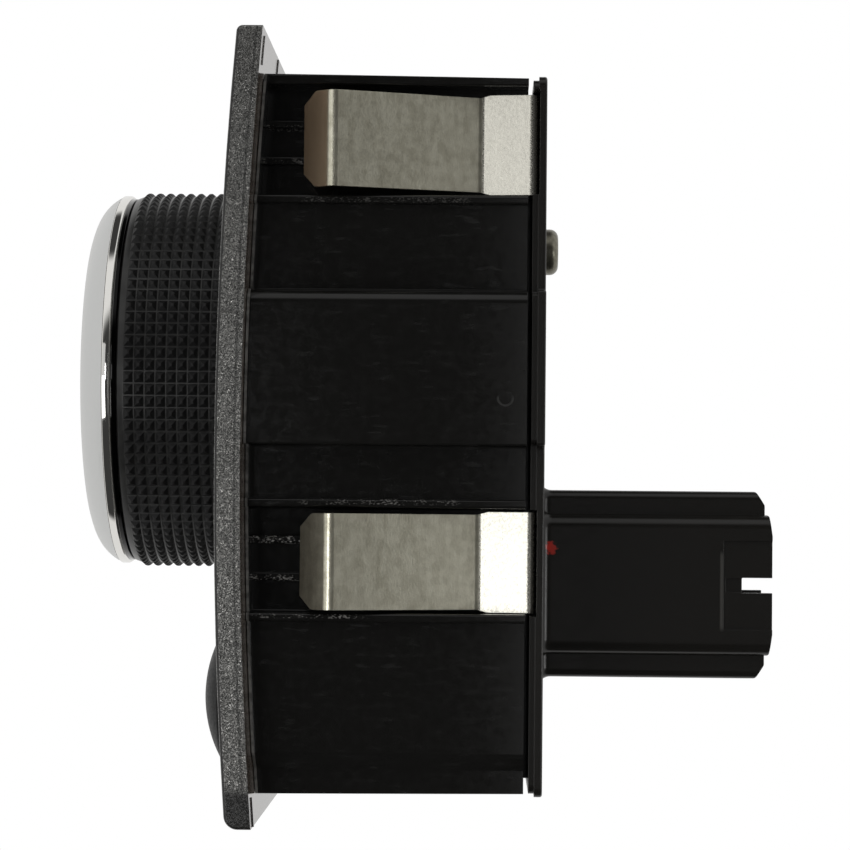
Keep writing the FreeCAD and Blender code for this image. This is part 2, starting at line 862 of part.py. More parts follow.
def mouth_cuts():
    middle = shroud_centre_z
    outer = shroud_half_width
    far = outer + 5.0
    pad = block(
        outer - mouth_pad_depth,
        far,
        shroud_mouth - mouth_pad_length,
        shroud_mouth + 1,
        middle - mouth_pad_half_height,
        middle + mouth_pad_half_height,
    )
    notch = block(
        shroud_rail_half_width - 2 * shroud_wall,
        far,
        shroud_mouth - mouth_notch_depth,
        shroud_mouth + 1,
        middle - mouth_notch_half_height,
        middle + mouth_notch_half_height,
    )
    lead = block(
        outer - notch_lead_depth,
        far,
        shroud_mouth - mouth_notch_depth - notch_lead_length,
        shroud_mouth,
        middle - mouth_notch_half_height * 0.9,
        middle + mouth_notch_half_height * 0.9,
    )
    return [pad, notch, lead]


def make_rear_cover():
    shroud = shroud_solid(0.0, cover_rear, shroud_mouth, shroud_mouth - shroud_rail_setback)
    flares = [
        base_flare(shroud_half_width, shroud_half_height, shroud_corner_radius),
        base_flare(shroud_rail_half_width, shroud_rail_half_height, shroud_rail_round),
    ]
    plug_top = housing_top - draft_drop - housing_wall - cover_plug_clearance
    plug_bottom = housing_bottom + housing_wall + cover_plug_clearance + draft_drop * 0.65
    half = plug_half_width
    plug_front = cover_front - cover_plug_depth
    plug = block(-half, half, plug_front, cover_front, plug_bottom, plug_top)
    wall = housing_wall
    hollow = block(
        -half + wall, half - wall, plug_front - 1, cover_front, plug_bottom + wall, plug_top - wall
    )
    seat = block(
        -half,
        half,
        housing_rear + seat_gap,
        cover_front + 0.1,
        housing_bottom + cover_bottom_rise + cover_seat_inset,
        housing_top - cover_top_drop - cover_seat_inset,
    )
    pip = rod(moulding_pip_radius, cover_rear - 0.3, cover_rear + 0.6, 0, moulding_pip_z)
    cover = cover_flange().fuse([shroud, plug.fuse(seat).cut(hollow), pip] + flares + cover_hooks(0.0))
    cover = cover.fuse(rod(cover_boss_radius, board_rear, cover_front + 0.5, 0, cover_screw_z))
    socket_floor = cover_rear + shroud_floor
    cuts = [
        rod(cover_bore_radius, board_rear - 1, cover_rear + 1, 0, cover_screw_z),
        shroud_solid(shroud_wall, socket_floor, shroud_mouth + 1, shroud_mouth + 1),
    ]
    reach = header_clearance
    window = block(
        -header_half_width - reach,
        header_half_width + reach,
        cover_front - 1,
        socket_floor + 1,
        shroud_centre_z - header_half_height - reach,
        shroud_centre_z + header_half_height + reach,
    )
    cuts.append(window)
    for shape in mouth_cuts():
        cuts += [shape, mirrored(shape)]
    notch_inner = pocket_half_width - housing_wall - clip_thickness - 2 * clip_gap - 0.3
    for z in (clip_upper_z, clip_lower_z):
        half_z = clip_base_width / 2 + 0.25
        far = bulge_half_width + 5.0
        recess = block(
            notch_inner, far, cover_front - 1, clip_rear + 0.1, z - half_z, z + half_z
        )
        cuts += [recess, mirrored(recess)]
    return cover.cut(cuts).removeSplitter()


# One spring clip on the +X side. It hooks round the pocket's floor and its arm flares outward.
def make_clip(centre_z):
    leg_x = pocket_half_width - housing_wall - clip_gap - clip_thickness / 2
    base_x = pocket_half_width + clip_gap + clip_thickness / 2
    fold_y = clip_rear - clip_thickness / 2
    low = centre_z - clip_base_width / 2
    points = [
        Vector(leg_x, clip_inner_leg_end, low),
        Vector(leg_x, fold_y, low),
        Vector(base_x + clip_base_rise, fold_y, low),
        Vector(base_x, clip_flare_start, low),
        Vector(clip_peak_x, clip_peak_y, low),
        Vector(clip_tip_x, clip_tip_y, low),
    ]
    radii = [clip_fold_radius, clip_fold_radius, clip_bend_radius, clip_peak_radius]
    strip = bent_strip(points, radii, clip_thickness, Vector(0, 0, clip_base_width))
    base = clip_base_width / 2
    arm = clip_arm_width / 2
    tip_half = arm - clip_tip_chamfer_z
    tip_y = clip_tip_y - clip_thickness
    upper = [
        (clip_rear + 1, base),
        (clip_shoulder_start, base),
        (clip_flare_start, arm),
        (clip_tip_y + clip_tip_chamfer_y, arm),
        (tip_y, tip_half),
    ]
    side = [(y, centre_z + z) for y, z in upper]
    side += [(y, centre_z - z) for y, z in reversed(upper)]
    leg_side = block(
        0, base_x, clip_inner_leg_end - 1, clip_rear + 1, centre_z - arm, centre_z + arm
    )
    shape_side = prism(yz_points(side, 0), Vector(clip_peak_x + 5, 0, 0), [0, 0.6, 0.6, 0.5, 0.5] * 2)
    inner_cut = block(
        0, leg_x + 1, clip_inner_leg_end - 1, clip_flare_start, centre_z + arm, centre_z + base + 1
    )
    lower_cut = block(
        0, leg_x + 1, clip_inner_leg_end - 1, clip_flare_start, centre_z - base - 1, centre_z - arm
    )
    clip = strip.common(shape_side.fuse(leg_side))
    return clip.cut(inner_cut).cut(lower_cut).removeSplitter()


def make_knob_ring():
    rim = Vector(ring_rim_radius, ring_front, 0)
    crease = Vector(ring_crease_radius, crease_y, 0)
    chord = crease - rim
    outward = Vector(chord.y, -chord.x, 0)
    outward.normalize()
    bulge = (rim + crease) * 0.5 + outward * ring_face_bulge
    band = Vector(ring_band_radius, band_rear, 0)
    seat = Vector(grip_inner_radius + 0.05, band_rear, 0)
    step = Vector(grip_inner_radius + 0.05, hub_front + ring_thickness * 1.2, 0)
    inner = Vector(ring_rim_radius - ring_lip, hub_front + 0.05, 0)
    lip = Vector(ring_rim_radius - ring_lip, ring_front + 0.15, 0)
    edges = [
        Part.Arc(rim, bulge, crease).toShape(),
        Part.makeLine(crease, band),
        Part.makeLine(band, seat),
        Part.makeLine(seat, step),
        Part.makeLine(step, inner),
        Part.makeLine(inner, lip),
        Part.makeLine(lip, rim),
    ]
    return Part.Face(Part.Wire(edges)).revolve(Vector(0, 0, 0), Vector(0, 1, 0), 360)


# The soft grip: rows of small pyramids round a sleeve, with a smooth shoulder in front.
def make_knob_grip():
    step = 2 * math.pi / knurls_around

    def ring_points(radius, y, shift=0.0):
        points = []
        for i in range(knurls_around):
            angle = (i + shift) * step
            points.append(Vector(radius * math.sin(angle), y, radius * math.cos(angle)))
        return points

    def patch(faces, corners):
        faces.append(Part.Face(Part.makePolygon(corners + [corners[0]])))

    shoulder = [
        (grip_inner_radius, band_rear),
        (knurl_root_radius - grip_shoulder_drop, band_rear),
        (knurl_root_radius - grip_shoulder_drop * 0.25, band_rear + grip_shoulder_length * 0.35),
    ]
    rings = [ring_points(radius, y) for radius, y in shoulder]
    rings.append(ring_points(knurl_root_radius, knurl_front))
    faces = []
    for front, rear in zip(rings, rings[1:]):
        for i in range(knurls_around):
            j = (i + 1) % knurls_around
            patch(faces, [front[i], front[j], rear[j], rear[i]])
    for row in range(knurl_rows):
        y = knurl_front + row * knurl_row_pitch
        front = ring_points(knurl_root_radius, y)
        rear = ring_points(knurl_root_radius, y + knurl_row_pitch)
        tips = ring_points(knob_tip_radius, y + knurl_row_pitch / 2, 0.5)
        for i in range(knurls_around):
            j = (i + 1) % knurls_around
            corners = [front[i], front[j], rear[j], rear[i]]
            for k in range(4):
                patch(faces, [corners[k], corners[(k + 1) % 4], tips[i]])
    rear = ring_points(knurl_root_radius, knob_rear)
    inner_rear = ring_points(grip_inner_radius, knob_rear)
    for i in range(knurls_around):
        j = (i + 1) % knurls_around
        patch(faces, [rear[i], rear[j], inner_rear[j], inner_rear[i]])
        patch(faces, [inner_rear[i], inner_rear[j], rings[0][j], rings[0][i]])
    shell = Part.makeShell(faces)
    shell.sewShape(1e-5)
    solid = Part.makeSolid(shell.Shells[0] if shell.ShapeType != "Shell" else shell)
    if solid.Volume < 0:
        solid.reverse()
    return solid


def pointer_bar(extra, y0, y1):
    half = pointer_width / 2 + extra
    bar = block(-half, half, y0, y1, pointer_inner - extra, pointer_outer + extra)
    return about_axis(bar, pointer_rest_deg)


def make_knob_cap():
    rear = cap_front + cap_thickness
    edge = Vector(cap_radius, cap_front, 0)
    start = Vector(0, cap_front + cap_dish, 0)
    between = Vector(cap_radius / 2, cap_front + cap_dish * 0.75, 0)
    edges = [
        Part.Arc(start, between, edge).toShape(),
        Part.makeLine(edge, Vector(cap_radius, rear, 0)),
        Part.makeLine(Vector(cap_radius, rear, 0), Vector(0, rear, 0)),
        Part.makeLine(Vector(0, rear, 0), start),
    ]
    cap = Part.Face(Part.Wire(edges)).revolve(Vector(0, 0, 0), Vector(0, 1, 0), 360)
    return cap.cut(pointer_bar(0.05, cap_front - 1, rear + 1))


def double_flat(extra, y0, y1):
    round_part = rod(key_radius + extra, y0, y1)
    reach = key_radius + 2
    half = key_half_flat + extra
    return round_part.common(block(-half, half, y0, y1, -reach, reach))


def make_knob_hub():
    cap_rear = cap_front + cap_thickness
    seat_y = cap_rear + 0.05
    seat_radius = ring_rim_radius - ring_lip - 0.05
    profile = [
        (0, seat_y),
        (seat_radius, seat_y),
        (seat_radius, hub_front + 0.15),
        (hub_outer_radius, hub_front + ring_thickness * 1.2 + 0.1),
        (hub_outer_radius, knob_rear),
        (hub_outer_radius - hub_wall, knob_rear),
        (hub_outer_radius - hub_wall, hub_disc_rear),
        (shaft_radius, hub_disc_rear),
        (shaft_radius, retaining_ring_front),
        (shaft_radius - shaft_groove_depth, retaining_ring_front),
        (shaft_radius - shaft_groove_depth, shaft_shoulder),
        (0, shaft_shoulder),
    ]
    hub = turned(profile)
    hub = hub.fuse(double_flat(0.0, shaft_shoulder - 0.5, key_rear))
    hub = hub.cut(rod(shaft_bore_radius, hub_front - 5, key_rear + 1))
    hub = hub.cut(pointer_bar(0.1, hub_front - 5, hub_front + 1.2))
    link = block(-pointer_width / 2 - 0.1, pointer_width / 2 + 0.1, seat_y - 1, hub_front + 1.2, 0, 7)
    return hub.cut(about_axis(link, pointer_rest_deg)).removeSplitter()


# A clear rod through the shaft, with a bar in front that lights the knob's pointer.
def make_pointer_light_guide():
    rear = key_rear + 0.6
    stem_front = hub_front + 0.1
    guide = rod(shaft_bore_radius - light_guide_clearance, stem_front, rear)
    foot = block(-pointer_width / 2, pointer_width / 2, stem_front, hub_front + 1.1, 0, pointer_outer)
    guide = guide.fuse(about_axis(foot, pointer_rest_deg))
    guide = guide.fuse(pointer_bar(0.0, cap_front + 0.1, hub_front + 1.1))
    return guide.removeSplitter()


def make_thrust_washer():
    rear = washer_front + thrust_washer_thickness
    return tube(bearing_outer_radius, shaft_radius + 0.1, washer_front, rear)


def make_retaining_ring():
    front = retaining_ring_front + 0.02
    rear = front + retaining_ring_thickness
    inner = shaft_radius - shaft_groove_depth + shaft_clearance
    ring = tube(retaining_ring_radius, inner, front, rear)
    half = retaining_ring_gap / 2
    ring = ring.cut(block(-half, half, front - 1, rear + 1, -retaining_ring_radius - 1, 0))
    for angle in (90, 0, -90):
        hole = rod(retaining_hole_radius, front - 1, rear + 1, 0, (inner + retaining_ring_radius) / 2)
        ring = ring.cut(about_axis(hole, angle))
    return ring.removeSplitter()


def make_detent_wheel():
    wheel = rod(detent_wheel_radius, detent_wheel_front, detent_wheel_rear)
    notch_centre = detent_wheel_radius - detent_notch_depth + detent_notch_radius
    notches = round(360 / detent_pitch_deg)
    for i in range(notches):
        notch = rod(
            detent_notch_radius, detent_wheel_front - 1, detent_wheel_rear + 1, 0, notch_centre
        )
        wheel = wheel.cut(about_axis(notch, -90 + i * 360 / notches))
    lug_angle = 90 - knob_travel_deg / 2
    lug = sector(
        detent_wheel_radius - 2.5,
        stop_lug_radius,
        lug_angle,
        stop_lug_half_deg,
        detent_wheel_front,
        detent_wheel_rear,
    )
    wheel = wheel.fuse(lug)
    return wheel.cut(double_flat(0.05, detent_wheel_front - 1, detent_wheel_rear + 1)).removeSplitter()


def make_contact_rotor():
    front = contact_rotor_front
    rear = contact_rotor_rear
    rotor = turned(
        [
            (0, detent_wheel_rear + 0.1),
            (key_radius + 1.6, detent_wheel_rear + 0.1),
            (key_radius + 1.6, front),
            (contact_rotor_radius, front + 1.0),
            (contact_rotor_radius, rear),
            (0, rear),
        ]
    )
    return rotor.cut(double_flat(0.05, detent_wheel_rear - 1, rear + 1))


# A spring-metal ring with three fingers that sweep the board's tracks.
def make_contact_brush():
    front = contact_rotor_rear + 0.02
    ring = tube(brush_outer_radius, brush_inner_radius, front, front + brush_thickness)
    middle = (brush_outer_radius + brush_inner_radius) / 2
    lift_end = brush_rear - brush_thickness / 2
    half = brush_finger_width / 2
    for i in range(3):
        low = middle - half
        points = [
            Vector(-0.8, front + brush_thickness / 2, low),
            Vector(0.6, front + brush_thickness / 2, low),
            Vector(brush_finger_length - 1.4, lift_end - 0.05, low),
            Vector(brush_finger_length, lift_end - 0.9, low),
        ]
        finger = bent_strip(points, [0.5, 0.6], brush_thickness, Vector(0, 0, brush_finger_width))
        ring = ring.fuse(about_axis(finger, i * 120))
    return ring.removeSplitter()


def make_button_cap():
    side_front = button_side_front
    x = button_radius
    dome_mid = button_radius / 2
    dome_mid_y = button_apex + button_dome_radius
    dome_mid_y -= math.sqrt(button_dome_radius**2 - dome_mid**2)
    z = button_z
    apex = Vector(0, button_apex, z)
    rim = Vector(x, side_front, z)
    edges = [
        Part.Arc(apex, Vector(dome_mid, dome_mid_y, z), rim).toShape(),
        Part.makeLine(rim, Vector(x, button_rear, z)),
        Part.makeLine(Vector(x, button_rear, z), Vector(0, button_rear, z)),
        Part.makeLine(Vector(0, button_rear, z), apex),
    ]
    cap = Part.Face(Part.Wire(edges)).revolve(Vector(0, 0, z), Vector(0, 1, 0), 360)
    rim_edges = [e for e in cap.Edges if abs(e.BoundBox.YMax - side_front) < 1e-4 and e.Length > x]
    cap = cap.makeFillet(button_rim_round, rim_edges)
    bore = plunger_radius + press_fit
    boss = bore + button_boss_wall
    skirt = button_radius - button_wall
    cap = cap.cut(tube(skirt, boss, button_hollow_front, button_rear + 1, 0, button_z))
    return cap.cut(rod(bore, button_hollow_front, button_rear + 1, 0, button_z))


def make_button_plunger():
    front = button_hollow_front + 0.05
    neck_radius = plunger_radius - plunger_neck_depth
    flange_front = plunger_guide_rear + running_gap
    profile = [
        (0, front),
        (plunger_radius, front),
        (plunger_radius, flange_front),
        (plunger_flange_radius, flange_front),
        (plunger_flange_radius, flange_front + plunger_flange_thickness),
        (neck_radius, flange_front + plunger_flange_thickness + plunger_neck_depth),
        (neck_radius, plunger_rear),
        (0, plunger_rear),
    ]
    plunger = turned(profile, 0, 0, button_z)
    bore = plunger_radius - plunger_wall
    return plunger.cut(rod(bore, front - 1, front + plunger_bore_depth, 0, button_z))


def make_switch_dome():
    top = plunger_rear + dome_gap
    base_front = board_front - dome_wall
    profile = [
        (dome_base_radius - 1.6, board_front - 0.02),
        (dome_base_radius, board_front - 0.02),
        (dome_base_radius, base_front),
        (dome_base_radius - 1.0, base_front),
        (dome_top_radius, top),
        (0, top),
        (0, top + dome_wall),
        (dome_top_radius - dome_wall, top + dome_wall),
    ]
    return turned(profile, 0, 0, button_z)


def pin_places():
    places = []
    for x in (-pin_row_half_gap, pin_row_half_gap):
        for i in range(pins_per_row):
            places.append((x, shroud_centre_z + (i - (pins_per_row - 1) / 2) * pin_pitch))
    return places


def make_circuit_board():
    right = [(board_half_width, board_top), (board_half_width, board_bottom)]
    board = section_solid(both_sides(right), board_front, board_rear, board_corner_radius)
    holes = [rod(cover_bore_radius, board_front - 1, board_rear + 1, 0, cover_screw_z)]
    hole_radius = board_screw_radius + screw_hole_clearance
    for x in (-board_screw_x, board_screw_x):
        holes.append(rod(hole_radius, board_front - 1, board_rear + 1, x, board_screw_z))
    pin_hole = pin_width / 2 * math.sqrt(2) + pin_clearance
    for x, z in pin_places():
        holes.append(rod(pin_hole, board_front - 1, board_rear + 1, x, z))
    for hole in holes:
        board = board.cut(hole)
    return board


def square_wire(x, z, half, y):
    corners = [(x - half, z - half), (x + half, z - half), (x + half, z + half), (x - half, z + half)]
    return outline(xz_points(corners, y))


def make_terminal_pins():
    front = board_front - pin_board_stub
    tip = cover_rear + shroud_floor + pin_reach
    taper_start = tip - pin_tip_taper
    half = pin_width / 2
    pins = []
    for x, z in pin_places():
        shank = block(x - half, x + half, front, taper_start, z - half, z + half)
        ends = [square_wire(x, z, half, taper_start), square_wire(x, z, pin_tip_width / 2, tip)]
        point = Part.makeLoft(ends, True, True)
        pins.append(shank.fuse(point).removeSplitter())
    return Part.makeCompound(pins)


def make_pin_header():
    rear = cover_rear + shroud_floor
    middle = shroud_centre_z
    header = block(
        -header_half_width,
        header_half_width,
        board_rear,
        rear,
        middle - header_half_height,
        middle + header_half_height,
    )
    half = pin_width / 2 + 0.02
    for x, z in pin_places():
        header = header.cut(block(x - half, x + half, board_rear - 1, rear + 1, z - half, z + half))
    return header


# Pan head with a cross recess; the plain shank stands for its thread.
def make_screw(x, z, under_head, length, radius, head_radius, head_height):
    head_rear = under_head + head_height
    profile = [
        (0, under_head - length),
        (radius * 0.6, under_head - length),
        (radius, under_head - length + radius * 0.6),
        (radius, under_head),
        (head_radius, under_head),
        (head_radius, head_rear),
        (0, head_rear),
    ]
    screw = turned(profile, [0, 0, 0, 0, 0, head_height * 0.55, 0], x, z)
    deep = head_rear - head_height * 0.45
    arm = head_radius * 0.55
    half = head_radius * 0.12
    screw = screw.cut(block(x - arm, x + arm, deep, head_rear + 1, z - half, z + half))
    return screw.cut(block(x - half, x + half, deep, head_rear + 1, z - arm, z + arm))


def make_cover_screw():
    return make_screw(
        0,
        cover_screw_z,
        cover_rear,
        cover_screw_length,
        cover_screw_radius,
        cover_screw_head_radius,
        cover_screw_head_height,
    )


def make_board_screws():
    screws = []
    for x in (-board_screw_x, board_screw_x):
        screw = make_screw(
            x,
            board_screw_z,
            board_rear,
            board_screw_length,
            board_screw_radius,
            board_screw_head_radius,
            board_screw_head_height,
        )
        screws.append(screw)
    return Part.makeCompound(screws)


def make_controller_chip():
    x = chip_x
    z = chip_z
    half = chip_size / 2
    body = block(x - half, x + half, board_rear + 0.1, board_rear + chip_height, z - half, z + half)
    pitch = (chip_size - 1.0) / (chip_legs - 1)
    for i in range(chip_legs):
        along = z - half + 0.5 + i * pitch
        leg = block(
            x - half - 1.0, x + half + 1.0, board_rear, board_rear + 0.25, along - 0.17, along + 0.17
        )
        body = body.fuse(leg)
    return body.removeSplitter()


# Resistors, capacitors and diodes on the board's rear face.
def make_chip_parts():
    kinds = [
        (resistor_size, resistor_places),
        (capacitor_size, capacitor_places),
        (diode_size, diode_places),
    ]
    parts = []
    for (wide, tall, high), places in kinds:
        for x, z in places:
            part = block(
                x - wide / 2, x + wide / 2, board_rear, board_rear + high, z - tall / 2, z + tall / 2
            )
            parts.append(part)
    return Part.makeCompound(parts)


# One lamp behind the knob's light guide, one each side for the faceplate's marks.
def make_lamps():
    lamps = []
    for x, z in lamp_places:
        lamp = block(
            x - 1.6, x + 1.6, board_front - led_height, board_front, z - 1.4, z + 1.4
        )
        lens = rod(1.0, board_front - led_height - 0.3, board_front - led_height, x, z)
        lamps.append(lamp.fuse(lens))
    return Part.makeCompound(lamps)


def save(name, shape):
    shape.exportStep("parts/" + name + ".step")


os.makedirs("parts", exist_ok=True)
save("faceplate", make_faceplate())
save("housing", make_housing())
save("rear_cover", make_rear_cover())
upper_clip = make_clip(clip_upper_z)
lower_clip = make_clip(clip_lower_z)
save("clip_upper_right", upper_clip)
save("clip_upper_left", mirrored(upper_clip))
save("clip_lower_right", lower_clip)
save("clip_lower_left", mirrored(lower_clip))
save("knob_ring", make_knob_ring())
save("knob_grip", make_knob_grip())
save("knob_cap", make_knob_cap())
save("knob_hub", make_knob_hub())
save("pointer_light_guide", make_pointer_light_guide())
save("thrust_washer", make_thrust_washer())
save("shaft_retaining_ring", make_retaining_ring())
save("detent_wheel", make_detent_wheel())
save("detent_spring", make_detent_spring())
save("contact_rotor", make_contact_rotor())
save("contact_brush", make_contact_brush())
save("button_cap", make_button_cap())
save("button_plunger", make_button_plunger())
save("switch_dome", make_switch_dome())
save("circuit_board", make_circuit_board())
save("terminal_pins", make_terminal_pins())
save("pin_header", make_pin_header())
save("cover_screw", make_cover_screw())
save("board_screws", make_board_screws())
save("controller_chip", make_controller_chip())
save("chip_parts", make_chip_parts())
save("lamps", make_lamps())
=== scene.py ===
import json
import math

import bmesh
import bpy
from mathutils import Matrix, Vector

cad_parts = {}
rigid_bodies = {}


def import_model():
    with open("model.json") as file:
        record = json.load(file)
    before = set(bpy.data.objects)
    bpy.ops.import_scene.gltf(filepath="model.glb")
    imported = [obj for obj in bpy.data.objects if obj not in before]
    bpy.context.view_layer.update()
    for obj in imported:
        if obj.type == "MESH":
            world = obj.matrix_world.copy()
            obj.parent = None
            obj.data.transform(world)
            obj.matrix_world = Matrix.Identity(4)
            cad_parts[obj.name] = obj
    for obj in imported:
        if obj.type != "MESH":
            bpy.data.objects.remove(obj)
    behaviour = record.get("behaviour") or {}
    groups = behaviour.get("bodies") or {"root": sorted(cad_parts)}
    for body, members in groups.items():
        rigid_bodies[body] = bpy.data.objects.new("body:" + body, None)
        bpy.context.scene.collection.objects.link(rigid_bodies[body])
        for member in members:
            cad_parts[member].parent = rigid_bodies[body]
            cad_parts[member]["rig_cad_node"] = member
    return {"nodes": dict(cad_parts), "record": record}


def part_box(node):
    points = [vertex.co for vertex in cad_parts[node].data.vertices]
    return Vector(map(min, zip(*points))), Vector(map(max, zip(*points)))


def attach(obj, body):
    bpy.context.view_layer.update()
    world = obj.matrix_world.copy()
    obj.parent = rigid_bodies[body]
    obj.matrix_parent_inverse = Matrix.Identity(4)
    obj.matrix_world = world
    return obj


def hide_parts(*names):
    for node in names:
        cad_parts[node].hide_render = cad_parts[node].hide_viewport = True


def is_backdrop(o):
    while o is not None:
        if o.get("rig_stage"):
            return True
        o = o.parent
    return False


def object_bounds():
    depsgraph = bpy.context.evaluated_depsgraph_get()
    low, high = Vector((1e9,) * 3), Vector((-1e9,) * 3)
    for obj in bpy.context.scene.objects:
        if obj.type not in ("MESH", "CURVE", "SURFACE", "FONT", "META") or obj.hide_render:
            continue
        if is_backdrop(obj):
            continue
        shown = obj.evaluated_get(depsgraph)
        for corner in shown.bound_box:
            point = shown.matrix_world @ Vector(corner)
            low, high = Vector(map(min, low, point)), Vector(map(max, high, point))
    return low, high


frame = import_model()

# Four wheel drive switch: finishes for the CAD pieces, the finely knurled grip, the plated ring,
# the printed position marks, and a white studio seen from the switch's right side.

mm = 0.001  # the frame is in metres

for leftover in [o for o in bpy.data.objects if o.type in {"MESH", "LIGHT", "CAMERA"}]:
    if "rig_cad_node" not in leftover:
        bpy.data.objects.remove(leftover)

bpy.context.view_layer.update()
nodes = frame["nodes"]
print("frame loaded,", len(nodes), "nodes")


# Node trees: a material starts as its shader, and each helper below adds one kind of detail.
def newMaterial(name, colour, roughness, metallic=0.0, specular=0.5):
    material = bpy.data.materials.new(name)
    material.use_nodes = True
    shader = shaderOf(material)
    shader.inputs["Base Color"].default_value = (*colour, 1)
    shader.inputs["Roughness"].default_value = roughness
    shader.inputs["Metallic"].default_value = metallic
    shader.inputs["Specular IOR Level"].default_value = specular
    return material


def shaderOf(material):
    return material.node_tree.nodes["Principled BSDF"]


def setSocket(material, name, value):
    material.node_tree.links.new(value, shaderOf(material).inputs[name])


def addNode(tree, kind, sockets=None, **settings):
    node = tree.nodes.new(kind)
    for key, value in settings.items():
        setattr(node, key, value)
    for socket, value in (sockets or {}).items():
        if isinstance(value, bpy.types.NodeSocket):
            tree.links.new(value, node.inputs[socket])
        else:
            node.inputs[socket].default_value = value
    return node


# One node for each pair, so that ADD with three values adds them all.
def mathNode(tree, operation, first, *others):
    for other in others:
        sockets = {0: first, 1: other}
        first = addNode(tree, "ShaderNodeMath", sockets, operation=operation).outputs[0]
    return first


def vectorNode(tree, operation, first, second=(0, 0, 0)):
    node = addNode(tree, "ShaderNodeVectorMath", {0: first, 1: second}, operation=operation)
    return node.outputs["Value" if operation in {"DISTANCE", "DOT_PRODUCT"} else "Vector"]


def mixValue(tree, factor, first, second):
    return addNode(tree, "ShaderNodeMix", {0: factor, 2: first, 3: second}).outputs[0]


def mixColour(tree, factor, first, second):
    sockets = {0: factor}
    for index, colour in ((6, first), (7, second)):
        sockets[index] = colour if isinstance(colour, bpy.types.NodeSocket) else (*colour, 1)
    return addNode(tree, "ShaderNodeMix", sockets, data_type="RGBA").outputs[2]


def objectPlace(tree, stretch=(1, 1, 1)):
    place = addNode(tree, "ShaderNodeTexCoord").outputs["Object"]
    return addNode(tree, "ShaderNodeMapping", {0: place, "Scale": stretch}).outputs[0]


def placeAlong(tree, axis):
    place = addNode(tree, "ShaderNodeTexCoord").outputs["Object"]
    return addNode(tree, "ShaderNodeSeparateXYZ", {0: place}).outputs[axis]


# Distance in metres from a centre in millimetres. An axis whose share is 0 is left out.
def awayFrom(tree, centre, shares=(1, 1, 1)):
    place = addNode(tree, "ShaderNodeTexCoord").outputs["Object"]
    place = vectorNode(tree, "MULTIPLY", place, shares)
    return vectorNode(tree, "DISTANCE", place, [value * mm for value in centre])


# Soft noise with features of about the given size in millimetres.
def noise(tree, size, detail=3.0, stretch=(1, 1, 1)):
    sockets = {"Vector": objectPlace(tree, stretch), "Scale": 1.0 / (size * mm), "Detail": detail}
    return addNode(tree, "ShaderNodeTexNoise", sockets).outputs["Fac"]


def ranged(tree, value, low, high, toLow=0.0, toHigh=1.0):
    sockets = {"Value": value, "From Min": low, "From Max": high, "To Min": toLow, "To Max": toHigh}
    return addNode(tree, "ShaderNodeMapRange", sockets, interpolation_type="SMOOTHSTEP").outputs[0]


# Noise mostly stays in 0.3 to 0.7, and this stretches it over the wanted range.
def stretched(tree, value, toLow=0.0, toHigh=1.0):
    return ranged(tree, value, 0.3, 0.7, toLow, toHigh)


# A soft line: 1 where the value lies inside low to high, falling to 0 over the softness.
def lineAt(tree, value, low, high, soft):
    rising = ranged(tree, value, (low - soft) * mm, low * mm)
    falling = ranged(tree, value, high * mm, (high + soft) * mm, 1.0, 0.0)
    return mathNode(tree, "MULTIPLY", rising, falling)


def band(tree, axis, low, high, soft):
    return lineAt(tree, placeAlong(tree, axis), low, high, soft)


# The faceplate's arch: the radius of its rear face, and where its faces stand at the middle.
arch = {"radius": 530, "middleZ": -9.0, "plateFront": -3.67, "plateRear": -0.87}


# How far behind the faceplate's arched front a point lies, along Y.
def behindFront(tree):
    across = mathNode(tree, "SUBTRACT", placeAlong(tree, "Z"), arch["middleZ"] * mm)
    squared = mathNode(tree, "MULTIPLY", across, across)
    sag = mathNode(tree, "DIVIDE", squared, 2 * arch["radius"] * mm)
    return mathNode(tree, "SUBTRACT", placeAlong(tree, "Y"), sag, arch["plateFront"] * mm)


def roundedNormal(tree, radius):
    return addNode(tree, "ShaderNodeBevel", {"Radius": radius * mm}, samples=6).outputs[0]


def addBump(material, height, distance, strength=1.0, edgeRound=0.0):
    tree = material.node_tree
    sockets = {"Height": height, "Strength": strength, "Distance": distance * mm}
    if edgeRound:
        sockets["Normal"] = roundedNormal(tree, edgeRound)
    setSocket(material, "Normal", addNode(tree, "ShaderNodeBump", sockets).outputs[0])


# Finishes. Colours are linear, sizes and places are in millimetres, and a line is given as
# low, high and softness.
plateLook = {
    "paint": (0.026, 0.026, 0.0245),
    "darkLineAndShadeColour": (0.008, 0.008, 0.0075),
    "roughness": 0.26,
    "specular": 0.4,
    "edgeRound": 0.1,
    "fleck": (0.42, 0.415, 0.395),
    "fleckSize": 0.085,
    "fleckStart": 0.25,  # how light a cell is before it counts as a fleck
    "fleckTilt": 0.22,
    "fleckInLineAndShade": 0.06,
    "cloudSize": 0.5,
    "frontLine": (0.1, 0.3, 0.06),
    "rearLine": (2.1, 2.25, 0.12),
    "rearLineShare": 0.6,
    "footShadeZ": (-46.0, -44.6),
    "rear": (0.055, 0.042, 0.033),
    "rearRoughness": 0.14,
}
